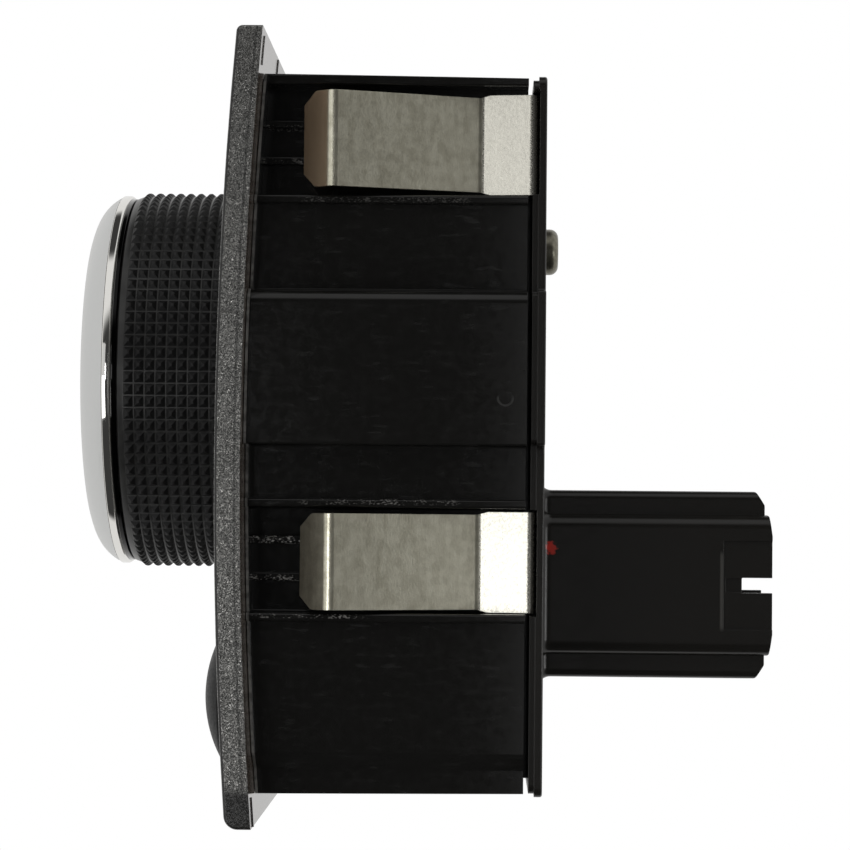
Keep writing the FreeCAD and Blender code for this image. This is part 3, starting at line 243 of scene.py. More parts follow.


# Charcoal paint with fine tilted metal flecks on the front and sides, dark lines along the edge,
# painted shade over the foot, and a smooth moulded rear.
def makePlatePaint(look):
    material = newMaterial("plateGrey", look["paint"], look["roughness"], 0.0, look["specular"])
    tree = material.node_tree
    geometry = addNode(tree, "ShaderNodeNewGeometry")
    facing = addNode(tree, "ShaderNodeSeparateXYZ", {0: geometry.outputs["Normal"]}).outputs["Y"]
    outside = ranged(tree, facing, 0.5, 0.75, 1.0, 0.0)  # all but the rear face
    side = ranged(tree, facing, -0.97, -0.9)  # all but the front face
    depth = behindFront(tree)
    frontLine = lineAt(tree, depth, *look["frontLine"])
    rearLine = lineAt(tree, depth, *look["rearLine"])
    rearLine = mathNode(tree, "MULTIPLY", rearLine, look["rearLineShare"])
    # Painted shade: the foot is darkened to the line colour, with fewer flecks.
    footLow, footHigh = look["footShadeZ"]
    footShade = ranged(tree, placeAlong(tree, "Z"), footLow * mm, footHigh * mm, 1.0, 0.0)
    darkLinesAndFootShade = mathNode(tree, "MAXIMUM", frontLine, rearLine, footShade)
    darkLinesAndFootShade = mathNode(tree, "MULTIPLY", darkLinesAndFootShade, side)

    sockets = {"Vector": objectPlace(tree), "Scale": 1 / (look["fleckSize"] * mm)}
    cell = addNode(tree, "ShaderNodeTexVoronoi", sockets).outputs["Color"]
    lightness = addNode(tree, "ShaderNodeSeparateColor", {0: cell}).outputs[0]
    fleck = ranged(tree, lightness, look["fleckStart"], 1.0)
    cloud = ranged(tree, noise(tree, look["cloudSize"]), 0.3, 0.65, 0.5, 1.0)
    share = ranged(tree, darkLinesAndFootShade, 0.0, 1.0, 1.0, look["fleckInLineAndShade"])
    fleck = mathNode(tree, "MULTIPLY", fleck, cloud, outside, share)

    paint = mixColour(tree, darkLinesAndFootShade, look["paint"], look["darkLineAndShadeColour"])
    ground = mixColour(tree, outside, look["rear"], paint)
    setSocket(material, "Base Color", mixColour(tree, fleck, ground, look["fleck"]))
    rough = ranged(tree, outside, 0.0, 1.0, look["rearRoughness"], look["roughness"])
    setSocket(material, "Roughness", rough)
    setSocket(material, "Metallic", fleck)
    lean = vectorNode(tree, "ADD", cell, (-0.5, -0.5, -0.5))
    amount = mathNode(tree, "MULTIPLY", outside, look["fleckTilt"])
    lean = vectorNode(tree, "MULTIPLY", lean, amount)
    tilted = vectorNode(tree, "ADD", roundedNormal(tree, look["edgeRound"]), lean)
    setSocket(material, "Normal", vectorNode(tree, "NORMALIZE", tilted))
    return material


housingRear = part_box("housing")[1].y / mm
housingLook = {
    "black": (0.0070, 0.0068, 0.0063),
    "wearAndHighlight": (0.40, 0.39, 0.37),
    "dust": (0.036, 0.036, 0.035),
    "roughness": 0.11,
    "wearAndHighlightRoughness": 0.5,
    "dustRoughness": 0.2,
    "specular": 0.34,
    "edgeRound": 0.07,
    "speckSize": 0.13,
    "patchSize": 1.4,
    "speckShare": 0.65,
    "frontRim": (2.92, 3.12, 0.08),  # behind the faceplate's front
    "rearRim": (housingRear - 0.32, housingRear - 0.1, 0.05),
    "rearRimShare": 0.7,
    "rimPatchSize": 0.8,
    "scuffSize": 0.12,
    "wipeSize": 0.5,
    "spreadSize": 3.5,
    "shelf": (-13.8, -8.4, 0.2),  # the ledge that gathers the most dust
    "nickPlace": (0.0, 27.3, -3.2),
    "nickLine": (0.74, 0.86, 0.1),
    "nickStrength": 0.7,
    "ledgeSoft": (0.12, 2.0),
    "ledgeWearAndHighlight": (  # low z, high z, low y, high y, how strong
        (-14.7, -14.2, 6.5, 21.0, 0.3),
        (-19.0, -18.3, 0.5, 6.0, 1.0),
        (-23.1, -22.5, 0.5, 6.0, 0.8),
        (-27.0, -26.7, 0.5, 11.0, 0.45),
        (18.1, 18.5, 4.0, 22.0, 0.12),
        (22.6, 23.1, 1.0, 6.0, 0.3),
        (26.3, 26.8, 1.0, 5.0, 0.2),
    ),
}


# A small crescent mark: the lower half of a thin circle, on the right side only.
def nickMark(tree, look):
    circle = lineAt(tree, awayFrom(tree, look["nickPlace"], (0, 1, 1)), *look["nickLine"])
    middle = look["nickPlace"][2]
    lowEdge, highEdge = (middle - 0.1) * mm, (middle + 0.4) * mm
    lower = ranged(tree, placeAlong(tree, "Z"), lowEdge, highEdge, 1.0, 0.0)
    right = ranged(tree, placeAlong(tree, "X"), 0.0, 5 * mm, 0.0, look["nickStrength"])
    return mathNode(tree, "MULTIPLY", circle, lower, right)


# Smooth black moulding with rubbed ledges that also carry a painted highlight, painted highlights
# along the front lip and rear edge, and a little dust and fine scratching.
def makeHousingPlastic(look):
    material = newMaterial("caseBlack", look["black"], look["roughness"], 0.0, look["specular"])
    tree = material.node_tree
    ledges = []
    softZ, softY = look["ledgeSoft"]
    # Ledge bands: some real wear, and a painted highlight where light catches the ledges.
    for lowZ, highZ, lowY, highY, strength in look["ledgeWearAndHighlight"]:
        across = band(tree, "Z", lowZ, highZ, softZ)
        along = band(tree, "Y", lowY, highY, softY)
        ledges.append(mathNode(tree, "MULTIPLY", across, along, strength))
    speck = noise(tree, look["speckSize"], 2.0, (1, 0.45, 1))
    specky = mixValue(tree, look["speckShare"], noise(tree, look["patchSize"], 2.0), speck)
    specky = ranged(tree, specky, 0.53, 0.62)
    ledge = mathNode(tree, "MULTIPLY", mathNode(tree, "MAXIMUM", *ledges), specky)
    # Painted highlights along the lip behind the faceplate and along the rounded rear edge.
    frontRim = lineAt(tree, behindFront(tree), *look["frontRim"])
    rearRim = mathNode(tree, "MULTIPLY", band(tree, "Y", *look["rearRim"]), look["rearRimShare"])
    patchy = ranged(tree, noise(tree, look["rimPatchSize"]), 0.35, 0.65, 0.2, 0.45)
    rim = mathNode(tree, "MULTIPLY", mathNode(tree, "MAXIMUM", frontRim, rearRim), patchy)
    wearAndHighlight = mathNode(tree, "MAXIMUM", ledge, rim)

    spread = ranged(tree, noise(tree, look["spreadSize"], 2.0), 0.5, 0.75, 0.25, 1.0)
    scuff = ranged(tree, noise(tree, look["scuffSize"], 2.0), 0.62, 0.74)
    onShelf = mixValue(tree, band(tree, "Z", *look["shelf"]), 0.2, 1.0)
    scuff = mathNode(tree, "MULTIPLY", scuff, spread, onShelf)
    wipe = noise(tree, look["wipeSize"], stretch=(1, 0.16, 0.8))
    wipe = ranged(tree, wipe, 0.52, 0.7, 0.0, 0.28)
    wipe = mathNode(tree, "MULTIPLY", wipe, spread)
    dust = mathNode(tree, "MAXIMUM", scuff, wipe, nickMark(tree, look))

    colour = mixColour(tree, dust, look["black"], look["dust"])
    setSocket(material, "Base Color", mixColour(tree, wearAndHighlight, colour, look["wearAndHighlight"]))
    cloudy = stretched(tree, noise(tree, 0.9, 4.0), -0.02, 0.04)
    dusty = mathNode(tree, "MULTIPLY", dust, look["dustRoughness"])
    rough = mathNode(tree, "ADD", dusty, look["roughness"], cloudy)
    wearAndHighlightRough = mathNode(tree, "MULTIPLY", wearAndHighlight, look["wearAndHighlightRoughness"])
    setSocket(material, "Roughness", mathNode(tree, "MAXIMUM", rough, wearAndHighlightRough))
    addBump(material, noise(tree, 0.5), 0.0015, 0.4, look["edgeRound"])
    return material


coverLook = {
    "black": (0.0098, 0.0090, 0.0078),
    "roughness": 0.22,
    "specular": 0.34,
    "edgeRound": 0.1,
    "dot": (0.5, 0.03, 0.02),
    "dotPlace": (7.3, 32.9, -19.5),
    "dotRadius": 0.75,
    "dotRagged": 0.2,
    "dotCover": 0.75,
    "padEdgeHighlight": (0.054, 0.052, 0.048),
    "padEdgeY": (52.7, 52.82, 0.2),
    "padEdgeZ": (-28.4, -20.4, 0.8),
}


# Warm satin black. The shroud has a small dot of red marking paint and a painted highlight along
# the pad's front edge.
def makeCoverPlastic(look):
    material = newMaterial("coverBlack", look["black"], look["roughness"], 0.0, look["specular"])
    tree = material.node_tree
    ragged = look["dotRagged"] * mm
    ragged = stretched(tree, noise(tree, 0.5), -ragged, ragged)
    away = mathNode(tree, "ADD", awayFrom(tree, look["dotPlace"]), ragged)
    radius = look["dotRadius"] * mm
    dot = ranged(tree, away, radius * 0.7, radius * 1.1, look["dotCover"], 0.0)
    # Painted highlight along the pad's front edge.
    across = band(tree, "Y", *look["padEdgeY"])
    along = band(tree, "Z", *look["padEdgeZ"])
    padEdgeHighlight = mathNode(tree, "MULTIPLY", across, along)
    black = mixColour(tree, padEdgeHighlight, look["black"], look["padEdgeHighlight"])
    setSocket(material, "Base Color", mixColour(tree, dot, black, look["dot"]))
    cloudy = stretched(tree, noise(tree, 0.8, stretch=(1, 0.4, 1)), -0.02, 0.04)
    setSocket(material, "Roughness", mathNode(tree, "ADD", cloudy, look["roughness"]))
    addBump(material, noise(tree, 0.4), 0.0015, 0.4, look["edgeRound"])
    return material


steelLook = {
    "steel": (0.66, 0.64, 0.525),
    "dark": (0.45, 0.43, 0.34),
    "roughness": 0.32,
    "edgeRound": 0.06,
    "blotchSize": 1.1,
    "scratchSize": 0.35,
    "grainSize": 0.2,
    "grainHeight": 0.006,
    "lumpSize": 0.42,
    "lumpHeight": 0.014,
    "seat": (0.62, 0.605, 0.55),
    "seatRoughness": 0.24,
    "seatY": 24.8,
    "seatLean": 0.15,
    "peak": (8.1, 8.5, 0.12),
    "peakRoughness": 0.17,
    "tip": (0.80, 0.63, 0.44),
    "tipY": (7.7, 8.0),
}


# Satin rolled strip with fine grain and soft blotches. The seats behind the arms lean a little,
# a burnished line runs along the peaks, and the upper tips carry a painted warm reflection.
def makeSpringSteel(look):
    material = newMaterial("springSteel", look["steel"], look["roughness"], 1.0)
    tree = material.node_tree
    blotch = ranged(tree, noise(tree, look["blotchSize"], 5.0), 0.34, 0.7, 0.0, 0.55)
    scratch = noise(tree, look["scratchSize"], stretch=(1, 0.5, 0.12))
    scratch = ranged(tree, scratch, 0.38, 0.62, 0.0, 0.3)
    grain = noise(tree, look["grainSize"], stretch=(1, 1, 0.6))
    tone = mathNode(tree, "ADD", blotch, scratch, ranged(tree, grain, 0.35, 0.65, 0.0, 0.25))
    arm = mixColour(tree, tone, look["steel"], look["dark"])
    behind = mathNode(tree, "SUBTRACT", placeAlong(tree, "Y"), look["seatY"] * mm)
    onSeat = ranged(tree, behind, -0.4 * mm, 0.0)
    colour = mixColour(tree, mathNode(tree, "MULTIPLY", onSeat, 0.8), arm, look["seat"])
    # Painted warm reflection on the upper tips.
    tipFront, tipRear = look["tipY"]
    tip = ranged(tree, placeAlong(tree, "Y"), tipFront * mm, tipRear * mm, 1.0, 0.0)
    upper = ranged(tree, placeAlong(tree, "Z"), 0.0, 5 * mm)
    tip = mathNode(tree, "MULTIPLY", tip, upper)
    setSocket(material, "Base Color", mixColour(tree, tip, colour, look["tip"]))

    rough = ranged(tree, onSeat, 0.0, 1.0, look["roughness"], look["seatRoughness"])
    smoother = look["peakRoughness"] - look["roughness"]
    peak = mathNode(tree, "MULTIPLY", band(tree, "Y", *look["peak"]), smoother)
    uneven = stretched(tree, grain, -0.03, 0.05)
    setSocket(material, "Roughness", mathNode(tree, "ADD", rough, peak, uneven))
    lean = mathNode(tree, "MAXIMUM", behind, 0.0)
    lean = mathNode(tree, "MULTIPLY", lean, look["seatLean"] / mm)
    lumps = noise(tree, look["lumpSize"], 1.5)
    lumps = mathNode(tree, "MULTIPLY", lumps, onSeat, look["lumpHeight"])
    grain = mathNode(tree, "MULTIPLY", grain, look["grainHeight"])
    height = mathNode(tree, "ADD", grain, lumps, lean)  # in millimetres
    addBump(material, height, 1.0, 1.0, look["edgeRound"])
    return material


ringLook = {
    "satinMetal": (0.60, 0.605, 0.60),
    "brightMetal": (0.80, 0.79, 0.76),
    "satin": 0.33,
    "bright": 0.06,
    "spunSize": 0.09,
    "creaseY": -17.88,
    "bandRear": -16.86,
    "gapShadeColour": (0.012, 0.012, 0.012),
}


# Satin plating on the ring's face, a bright band behind its crease, and behind that painted shade
# for the shadowed gap before the grip.
def makeRingPlating(look):
    material = newMaterial("satinChrome", look["satinMetal"], look["satin"], 1.0)
    tree = material.node_tree
    place = placeAlong(tree, "Y")
    crease, rear = look["creaseY"], look["bandRear"]
    polished = ranged(tree, place, (crease - 0.08) * mm, (crease + 0.04) * mm)
    plated = mixColour(tree, polished, look["satinMetal"], look["brightMetal"])
    # Painted shade behind the band, where the gap to the grip lies in shadow.
    gapShade = ranged(tree, place, rear * mm, (rear + 0.06) * mm)
    setSocket(material, "Base Color", mixColour(tree, gapShade, plated, look["gapShadeColour"]))
    spun = noise(tree, look["spunSize"], 2.0, (1, 0.2, 1))
    satin = stretched(tree, spun, look["satin"] - 0.05, look["satin"] + 0.06)
    setSocket(material, "Roughness", mixValue(tree, polished, satin, look["bright"]))
    dull = mathNode(tree, "SUBTRACT", 1.0, polished)
    addBump(material, mathNode(tree, "MULTIPLY", spun, dull), 0.004, 0.5)
    return material


rubberLook = {
    "black": (0.007, 0.007, 0.0072),
    # The valley colour is a painted highlight.
    "dusty": (0.03, 0.03, 0.029),
    "roughness": 0.5,
    "specular": 0.3,
    "fineSize": 0.06,
    "valleyPatchSize": 2.5,
    "valleyRadius": 21.78,
    "valleyRoughness": 0.28,
}


# Moulded soft black: matt pyramids, and smoother valleys whose lighter, patchy colour is a painted
# highlight.
def makeGripRubber(look):
    material = newMaterial("gripRubber", look["black"], look["roughness"], 0.0, look["specular"])
    tree = material.node_tree
    radius = awayFrom(tree, (0, 0, 0), (1, 0, 1))
    edge = look["valleyRadius"]
    # Painted highlight: the valleys get a lighter, patchy colour.
    valley = ranged(tree, radius, (edge + 0.01) * mm, (edge + 0.06) * mm, 1.0, 0.0)
    patch = ranged(tree, noise(tree, look["valleyPatchSize"]), 0.3, 0.65, 0.35, 1.0)
    dust = mathNode(tree, "MULTIPLY", valley, patch)
    setSocket(material, "Base Color", mixColour(tree, dust, look["black"], look["dusty"]))
    fine = noise(tree, look["fineSize"], 2.0)
    matt = stretched(tree, fine, look["roughness"] - 0.06, look["roughness"] + 0.08)
    setSocket(material, "Roughness", mixValue(tree, valley, matt, look["valleyRoughness"]))
    addBump(material, fine, 0.006, 0.6)
    return material


# Plain mouldings and small metal parts: a colour that varies a little, and a fine surface.
def makePlain(
    name, colour, roughness, metallic=0.0, size=1.0, spread=0.25, bump=0.006, specular=0.5
):
    material = newMaterial(name, colour, roughness, metallic, specular)
    tree = material.node_tree
    cloudy = stretched(tree, noise(tree, size, 4.0))
    darker = tuple(value * (1 - spread) for value in colour)
    setSocket(material, "Base Color", mixColour(tree, cloudy, colour, darker))
    fine = noise(tree, size * 0.12)
    setSocket(material, "Roughness", stretched(tree, fine, roughness * 0.85, roughness * 1.15))
    addBump(material, fine, bump, 0.5, 0.06)
    return material


boardLook = {
    "mask": (0.012, 0.09, 0.04),
    "track": (0.03, 0.16, 0.07),
    "roughness": 0.3,
    "trackPitch": 1.27,
    "patchSize": 6,
}


# Green solder mask with copper tracks faintly showing through it.
def makeBoard(look):
    material = newMaterial("boardGreen", look["mask"], look["roughness"])
    tree = material.node_tree
    scale = 0.5 / (look["trackPitch"] * mm)
    sockets = {"Vector": objectPlace(tree), "Scale": scale, "Distortion": 0.0, "Detail": 0.0}
    wave = addNode(tree, "ShaderNodeTexWave", sockets, wave_type="BANDS", bands_direction="Z")
    line = ranged(tree, wave.outputs["Fac"], 0.7, 0.8)
    patch = ranged(tree, noise(tree, look["patchSize"], 1.0), 0.45, 0.5)
    track = mathNode(tree, "MULTIPLY", line, patch)
    setSocket(material, "Base Color", mixColour(tree, track, look["mask"], look["track"]))
    addBump(material, track, 0.03, 0.6)
    return material


clearLook = {"colour": (0.9, 0.92, 0.93), "roughness": 0.12, "seeThrough": 0.6, "ior": 1.49}


def makeClear(look):
    material = makePlain("clearPlastic", look["colour"], look["roughness"], spread=0.03)
    shaderOf(material).inputs["Transmission Weight"].default_value = look["seeThrough"]
    shaderOf(material).inputs["IOR"].default_value = look["ior"]
    return material


finishes = {
    "plate_grey": makePlatePaint(plateLook),
    "case_black": makeHousingPlastic(housingLook),
    "cover_black": makeCoverPlastic(coverLook),
    "spring_steel": makeSpringSteel(steelLook),
    "satin_chrome": makeRingPlating(ringLook),
    "grip_rubber": makeGripRubber(rubberLook),
    "board_green": makeBoard(boardLook),
    "clear_plastic": makeClear(clearLook),
}
plainFinishes = (  # slot, name, colour, roughness, metallic, size, spread, bump, specular
    ("cap_black", "capBlack", (0.005, 0.005, 0.0052), 0.42, 0.0, 2.5, 0.3, 0.002, 0.06),
    ("hub_grey", "hubGrey", (0.03, 0.03, 0.033), 0.45),
    ("white_plastic", "whitePlastic", (0.72, 0.71, 0.67), 0.4, 0.0, 2.0, 0.06),
    ("contact_metal", "contactMetal", (0.7, 0.62, 0.42), 0.3, 1.0, 0.6, 0.2),
    ("silicone", "silicone", (0.45, 0.45, 0.46), 0.55, 0.0, 1.5, 0.1),
    ("screw_steel", "screwSteel", (0.20, 0.19, 0.15), 0.32, 0.85, 0.5, 0.35),
    ("chip_black", "chipBlack", (0.015, 0.015, 0.016), 0.5, 0.0, 0.4, 0.3),
    ("chip_parts_tan", "chipPartsTan", (0.3, 0.22, 0.14), 0.45, 0.0, 0.5, 0.2),
    ("lamp_white", "lampWhite", (0.85, 0.83, 0.7), 0.3, 0.0, 0.8, 0.08),
    ("print_white", "printWhite", (0.7, 0.7, 0.68), 0.5, 0.0, 0.5, 0.08, 0.002),
)
for slotName, *values in plainFinishes:
    finishes[slotName] = makePlain(*values)
slotOf = {row["node"]: row["material_slot"] for row in frame["record"]["subparts"]}
for name, node in nodes.items():
    node.data.materials.clear()
    node.data.materials.append(finishes[slotOf[name]])
print("finishes made:", len(finishes))


# New pieces. Each mesh is made in place, so its object stays at the origin.
def addObject(name, bm, material):
    mesh = bpy.data.meshes.new(name)
    bm.to_mesh(mesh)
    bm.free()
    mesh.materials.append(material)
    made = bpy.data.objects.new(name, mesh)
    bpy.context.scene.collection.objects.link(made)
    return made


def finishPiece(name, bm, body, slotName, replaced, sharpAngle):
    bmesh.ops.remove_doubles(bm, verts=bm.verts, dist=0.002 * mm)
    bmesh.ops.recalc_face_normals(bm, faces=bm.faces)
    piece = addObject(name, bm, finishes[slotName])
    for polygon in piece.data.polygons:
        polygon.use_smooth = True
    piece.data.set_sharp_from_angle(angle=math.radians(sharpAngle))
    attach(piece, body)
    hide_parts(*replaced)
    print("piece", name, "with", len(piece.data.polygons), "faces")


# Spins the outline edges once round the knob's axis. Faces that held the outline are dropped.
def spinOutline(bm, steps):
    bmesh.ops.delete(bm, geom=list(bm.faces), context="FACES_ONLY")
    bmesh.ops.spin(
        bm,
        geom=list(bm.verts) + list(bm.edges),
        cent=(0, 0, 0),
        axis=(0, 1, 0),
        angle=2 * math.pi,
        steps=steps,
        use_merge=True,
    )


gripLow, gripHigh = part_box("knob_grip")
gripShape = {
    "tipRadius": gripHigh.x / mm,
    "depth": 0.42,
    "rear": gripHigh.y / mm,
    "front": gripLow.y / mm,
    "rows": 9,
    "rowPitch": 1.21,
    "around": 100,
    "valley": 0.11,
    "tipWidth": 0.2,
    "wall": 1.2,
    "shoulderDrop": 0.75,
    "shoulderPlace": 0.3,  # the share of the plain front at which the shoulder turns
    "sharpAngle": 22,
}


# The grip: a sleeve whose cells are inset for the valleys, then inset and raised to blunt tips.
def makeGrip(shape):
    bm = bmesh.new()
    root = shape["tipRadius"] - shape["depth"]
    inner = root - shape["wall"]
    front, rear = shape["front"], shape["rear"]
    pitch = shape["rowPitch"]
    knurlFront = rear - shape["rows"] * pitch
    drop = shape["shoulderDrop"]
    turn = shape["shoulderPlace"]
    points = [
        (inner, rear),
        (inner, front),
        (root - drop, front),
        (root - drop * turn, front + (knurlFront - front) * turn),
    ]
    points += [(root, knurlFront + row * pitch) for row in range(shape["rows"] + 1)]
    verts = [bm.verts.new((radius * mm, y * mm, 0)) for radius, y in points]
    for i, vert in enumerate(verts):
        bm.edges.new((vert, verts[(i + 1) % len(verts)]))
    spinOutline(bm, shape["around"])
    bmesh.ops.recalc_face_normals(bm, faces=bm.faces)
    cells = []
    for face in bm.faces:
        middle = face.calc_center_median()
        if math.hypot(middle.x, middle.z) > (root - 0.1) * mm and middle.y > knurlFront * mm:
            cells.append(face)
    slope = (pitch - shape["valley"] - shape["tipWidth"]) / 2
    for thickness, depth in ((shape["valley"] / 2, 0), (slope, shape["depth"])):
        bmesh.ops.inset_individual(
            bm, faces=cells, thickness=thickness * mm, depth=depth * mm, use_even_offset=True
        )
    finishPiece("grip_knurls", bm, "knob", "grip_rubber", ["knob_grip"], shape["sharpAngle"])


ringLow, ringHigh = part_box("knob_ring")
ringShape = {
    "rimRadius": 18.2,
    "rimRound": 0.12,
    "creaseRadius": 21.75,
    "creaseY": ringLook["creaseY"],
    "faceBulge": 0.5,
    "faceSteps": 10,
    "faceWall": 1.1,
    "grooveRadius": 21.5,
    "grooveWidth": 0.05,
    "beadRadius": 21.86,
    "beadWidth": 1.0,
    "beadFrontRound": 0.102,
    "beadRearRound": 0.34,
    "seatRadius": 20.63,
    "seatDepth": 0.92,
    "lip": 0.4,
    "lipSetback": 0.15,
    "lipRound": 0.06,
    "front": ringLow.y / mm,
    "rear": ringHigh.y / mm,
    "around": 240,
    "sharpAngle": 25,
}


# Makes (radius, y, corner cut) rows one flat face, and rounds the corners that have a cut.
def outlineFace(bm, rows):
    corners = [bm.verts.new((radius * mm, y * mm, 0)) for radius, y, cut in rows]
    bm.faces.new(corners)
    for vert, (radius, y, cut) in zip(corners, rows):
        if cut:
            bmesh.ops.bevel(
                bm,
                geom=[vert],
                offset=cut * mm,
                affect="VERTICES",
                segments=6,
                profile=0.5,
                material=-1,
            )


# Splits the long edge between rim and crease, and bows it outwards.
def bulgeFace(bm, rim, crease, shape):
    for edge in bm.edges:
        nearCrease = min((vert.co - crease).length for vert in edge.verts) < 0.01 * mm
        nearRim = min((vert.co - rim).length for vert in edge.verts) < 0.2 * mm
        if nearCrease and nearRim and edge.calc_length() > 2 * mm:
            slope = edge
    start, end = [vert.co.copy() for vert in slope.verts]
    bmesh.ops.subdivide_edges(bm, edges=[slope], cuts=shape["faceSteps"])
    along = end - start
    outward = Vector((-along.y, along.x, 0)).normalized()
    if outward.y > 0:
        outward = -outward
    for vert in bm.verts:
        travel = (vert.co - start).dot(along) / along.length_squared
        aside = (vert.co - start - along * travel).length
        if 0.001 < travel < 0.999 and aside < 0.001 * mm:
            vert.co += outward * (shape["faceBulge"] * mm * 4 * travel * (1 - travel))


# The plated ring: a bulged satin face from rim to crease, then the bright band.
def makeRing(shape):
    bm = bmesh.new()
    front, rear = shape["front"], shape["rear"]
    rimRadius, creaseRadius, creaseY = shape["rimRadius"], shape["creaseRadius"], shape["creaseY"]
    lipRadius = rimRadius - shape["lip"]
    beadFront = creaseY + shape["grooveWidth"]
    beadRear = beadFront + shape["beadWidth"]
    outlineFace(
        bm,
        [
            (rimRadius, front, shape["rimRound"]),
            (creaseRadius, creaseY, 0),
            (shape["grooveRadius"], beadFront, 0),
            (shape["beadRadius"], beadFront, shape["beadFrontRound"]),
            (shape["beadRadius"], beadRear, shape["beadRearRound"]),
            (shape["grooveRadius"], beadRear, 0),
            (shape["grooveRadius"], rear, shape["rimRound"]),
            (shape["seatRadius"], rear, 0),
            (shape["seatRadius"], rear - shape["seatDepth"], 0),
            (lipRadius, creaseY - shape["faceWall"], 0),
            (lipRadius, front + shape["lipSetback"], shape["lipRound"]),
        ],
    )
    rim = Vector((rimRadius, front, 0)) * mm
    crease = Vector((creaseRadius, creaseY, 0)) * mm
    bulgeFace(bm, rim, crease, shape)
    spinOutline(bm, shape["around"])
    finishPiece("plated_ring", bm, "knob", "satin_chrome", ["knob_ring"], shape["sharpAngle"])


makeGrip(gripShape)
makeRing(ringShape)


# Printed marks round the knob. They lie on the faceplate's arched front.
markShape = {
    "words": ("2H", "4A", "4H", "4L"),
    "firstAngle": -54.0,
    "angleStep": 36.0,
    "wordRadius": 29.6,
    "wordSize": 4.05,  # the letters are about three quarters of it high
    "tickInner": 23.6,
    "tickOuter": 25.6,
    "tickWidth": 0.55,
    "proud": 0.012,
}


def plateFrontAt(z, proud):
    radius = (arch["radius"] + arch["plateRear"] - arch["plateFront"]) * mm
    sag = radius - math.sqrt(radius**2 - (z - arch["middleZ"] * mm) ** 2)
    return (arch["plateFront"] - proud) * mm + sag


def addWord(bm, word, angle, shape):
    curve = bpy.data.curves.new("markText", "FONT")
    curve.body = word
    curve.size = shape["wordSize"] * mm
    curve.align_x = "CENTER"
    curve.align_y = "CENTER"
    curve.resolution_u = 6
    holder = bpy.data.objects.new("markHolder", curve)
    flat = bpy.data.meshes.new_from_object(holder)
    place = Vector((math.sin(angle), 0, math.cos(angle))) * shape["wordRadius"] * mm
    flat.transform(Matrix.Translation(place) @ Matrix.Rotation(math.pi / 2, 4, "X"))
    bm.from_mesh(flat)
    bpy.data.objects.remove(holder)
    bpy.data.curves.remove(curve)
    bpy.data.meshes.remove(flat)


def addTick(bm, angle, shape):
    tick = bmesh.ops.create_grid(bm, x_segments=1, y_segments=1, size=0.5)["verts"]
    length = (shape["tickOuter"] - shape["tickInner"]) * mm
    bmesh.ops.scale(bm, vec=(shape["tickWidth"] * mm, length, 1), verts=tick)
    bmesh.ops.translate(bm, vec=(0, shape["tickInner"] * mm + length / 2, 0), verts=tick)
    bmesh.ops.rotate(bm, matrix=Matrix.Rotation(math.pi / 2, 3, "X"), verts=tick)
    bmesh.ops.rotate(bm, matrix=Matrix.Rotation(angle, 3, "Y"), verts=tick)


def makeMarks(shape):
    bm = bmesh.new()
    for i, word in enumerate(shape["words"]):
        angle = math.radians(shape["firstAngle"] + i * shape["angleStep"])
        addWord(bm, word, angle, shape)
        addTick(bm, angle, shape)
    bmesh.ops.triangulate(bm, faces=bm.faces)
    for vert in bm.verts:
        vert.co.y = plateFrontAt(vert.co.z, shape["proud"])
    for face in bm.faces:
        face.normal_update()
        if face.normal.y > 0:
            face.normal_flip()
    piece = addObject("position_marks", bm, finishes["print_white"])
    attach(piece, "case")
    print("piece position_marks with", len(piece.data.polygons), "faces")


makeMarks(markShape)

# The studio: a white tent with dim patches round the camera, below it and overhead, soft boxes and
# slits beside the camera, a box further back that lights the shroud's foot, and a pale floor.
studio = {
    "tentLight": 0.85,
    "tentColour": (1.0, 0.995, 0.985),
    "dimLight": 0.045,
    "dimZones": (  # the middle's direction, and the cosines at which it is full and gone
        ((0.985, 0.17, 0.0), 0.9, 0.66),
        ((0.64, 0.05, -0.765), 0.72, 0.58),
        ((-0.2, -0.1, 0.975), 0.97, 0.87),
    ),
    "lampAim": (0, 5, 0),
    "floorColour": (0.8, 0.8, 0.8),
    "floorRoughness": 0.9,
    "floorSpecular": 0.1,
    "floorDrop": 140,
    "floorRadius": 700,
    "floorFade": (0.35, 0.95),
    "floorGlow": 0.2,  # for the camera only
}
lamps = (  # name, place, size, brightness
    ("softBoxLow", (318, -108, -75), (110, 150), 2.5),
    ("softBoxHigh", (318, -108, 55), (110, 110), 0.62),
    ("sideBox", (318, 88, -60), (104, 150), 0.12),
    ("rearBox", (200, 312, -44), (90, 56), 5.0),
    ("slit", (324, -46, 12), (9, 50), 6.0),
    ("rearSlit", (324, 38, 0), (6, 160), 1.3),
)


def makeWorld(look):
    world = bpy.data.worlds.new("tent")
    world.use_nodes = True
    bpy.context.scene.world = world
    tree = world.node_tree
    direction = addNode(tree, "ShaderNodeTexCoord").outputs["Generated"]
    zones = []
    for axis, full, gone in look["dimZones"]:
        zones.append(ranged(tree, vectorNode(tree, "DOT_PRODUCT", direction, axis), gone, full))
    dim = mathNode(tree, "MAXIMUM", *zones)
    light = ranged(tree, dim, 0.0, 1.0, look["tentLight"], look["dimLight"])
    seen = addNode(tree, "ShaderNodeLightPath").outputs["Is Camera Ray"]
    background = tree.nodes["Background"]
    colour = mixColour(tree, seen, look["tentColour"], (1, 1, 1))
    tree.links.new(colour, background.inputs["Color"])
    tree.links.new(mixValue(tree, seen, light, 1.0), background.inputs["Strength"])


def makeLamp(name, place, size, brightness):
    data = bpy.data.lights.new(name, "AREA")
    data.shape = "RECTANGLE"
    data.size = size[0] * mm
    data.size_y = size[1] * mm
    data.energy = brightness * math.pi * data.size * data.size_y
    lamp = bpy.data.objects.new(name, data)
    bpy.context.scene.collection.objects.link(lamp)
    lamp.location = Vector(place) * mm
    aim = Vector(studio["lampAim"]) * mm - lamp.location
    lamp.rotation_euler = aim.to_track_quat("-Z", "Y").to_euler()


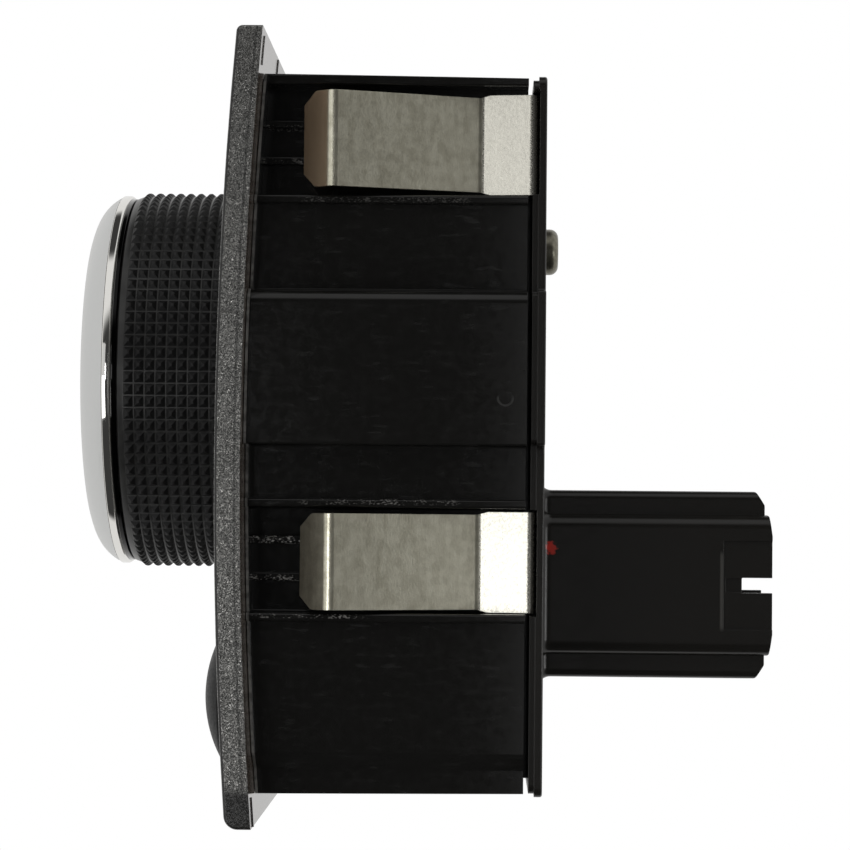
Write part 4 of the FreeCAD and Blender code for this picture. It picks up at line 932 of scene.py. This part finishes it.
# The floor fades out towards its edge, and isn't mirrored by the object.
def makeFloor(look):
    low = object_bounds()[0]
    bm = bmesh.new()
    reach = look["floorRadius"] * mm
    bmesh.ops.create_circle(bm, cap_ends=True, segments=64, radius=reach)
    bmesh.ops.translate(bm, vec=(0, 0, low.z - look["floorDrop"] * mm), verts=bm.verts)
    roughness, specular = look["floorRoughness"], look["floorSpecular"]
    material = newMaterial("paleFloor", look["floorColour"], roughness, 0.0, specular)
    tree = material.node_tree
    away = awayFrom(tree, (0, 0, 0), (1, 1, 0))
    fadeStart, fadeEnd = look["floorFade"]
    fade = ranged(tree, away, reach * fadeStart, reach * fadeEnd, 1.0, 0.0)
    path = addNode(tree, "ShaderNodeLightPath")
    unmirrored = mathNode(tree, "SUBTRACT", 1.0, path.outputs["Is Glossy Ray"])
    setSocket(material, "Alpha", mathNode(tree, "MULTIPLY", fade, unmirrored))
    shaderOf(material).inputs["Emission Color"].default_value = (1, 1, 1, 1)
    glow = mathNode(tree, "MULTIPLY", path.outputs["Is Camera Ray"], look["floorGlow"])
    setSocket(material, "Emission Strength", glow)
    floor = addObject("floor", bm, material)
    floor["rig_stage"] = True


makeWorld(studio)
for lamp in lamps:
    makeLamp(*lamp)
makeFloor(studio)
print("studio made")

# The camera stands off the switch's right side and looks a little up and to the front.
view = {
    "place": (337.176, 25.155, -15.341),
    "turn": -1.2195,
    "tilt": 1.7335,
    "roll": 0.5224,
    "lens": 119.87,
    "sensor": 36,
    "clip": (10, 20000),
}


def makeCamera(look):
    data = bpy.data.cameras.new("sideCamera")
    data.lens = look["lens"]
    data.sensor_width = look["sensor"]
    data.clip_start, data.clip_end = [reach * mm for reach in look["clip"]]
    camera = bpy.data.objects.new("sideCamera", data)
    bpy.context.scene.collection.objects.link(camera)
    turn, tilt, roll = [math.radians(look[name]) for name in ("turn", "tilt", "roll")]
    ahead = Vector((-1, math.tan(turn), math.tan(tilt))).normalized()
    level = ahead.cross(Vector((0, 0, 1))).normalized()
    upright = level.cross(ahead)
    right = level * math.cos(roll) + upright * math.sin(roll)
    above = upright * math.cos(roll) - level * math.sin(roll)
    rotation = Matrix((right, above, -ahead)).transposed().to_4x4()
    camera.matrix_world = Matrix.Translation(Vector(look["place"]) * mm) @ rotation
    bpy.context.scene.camera = camera


makeCamera(view)
bpy.context.scene.view_settings.view_transform = "Standard"
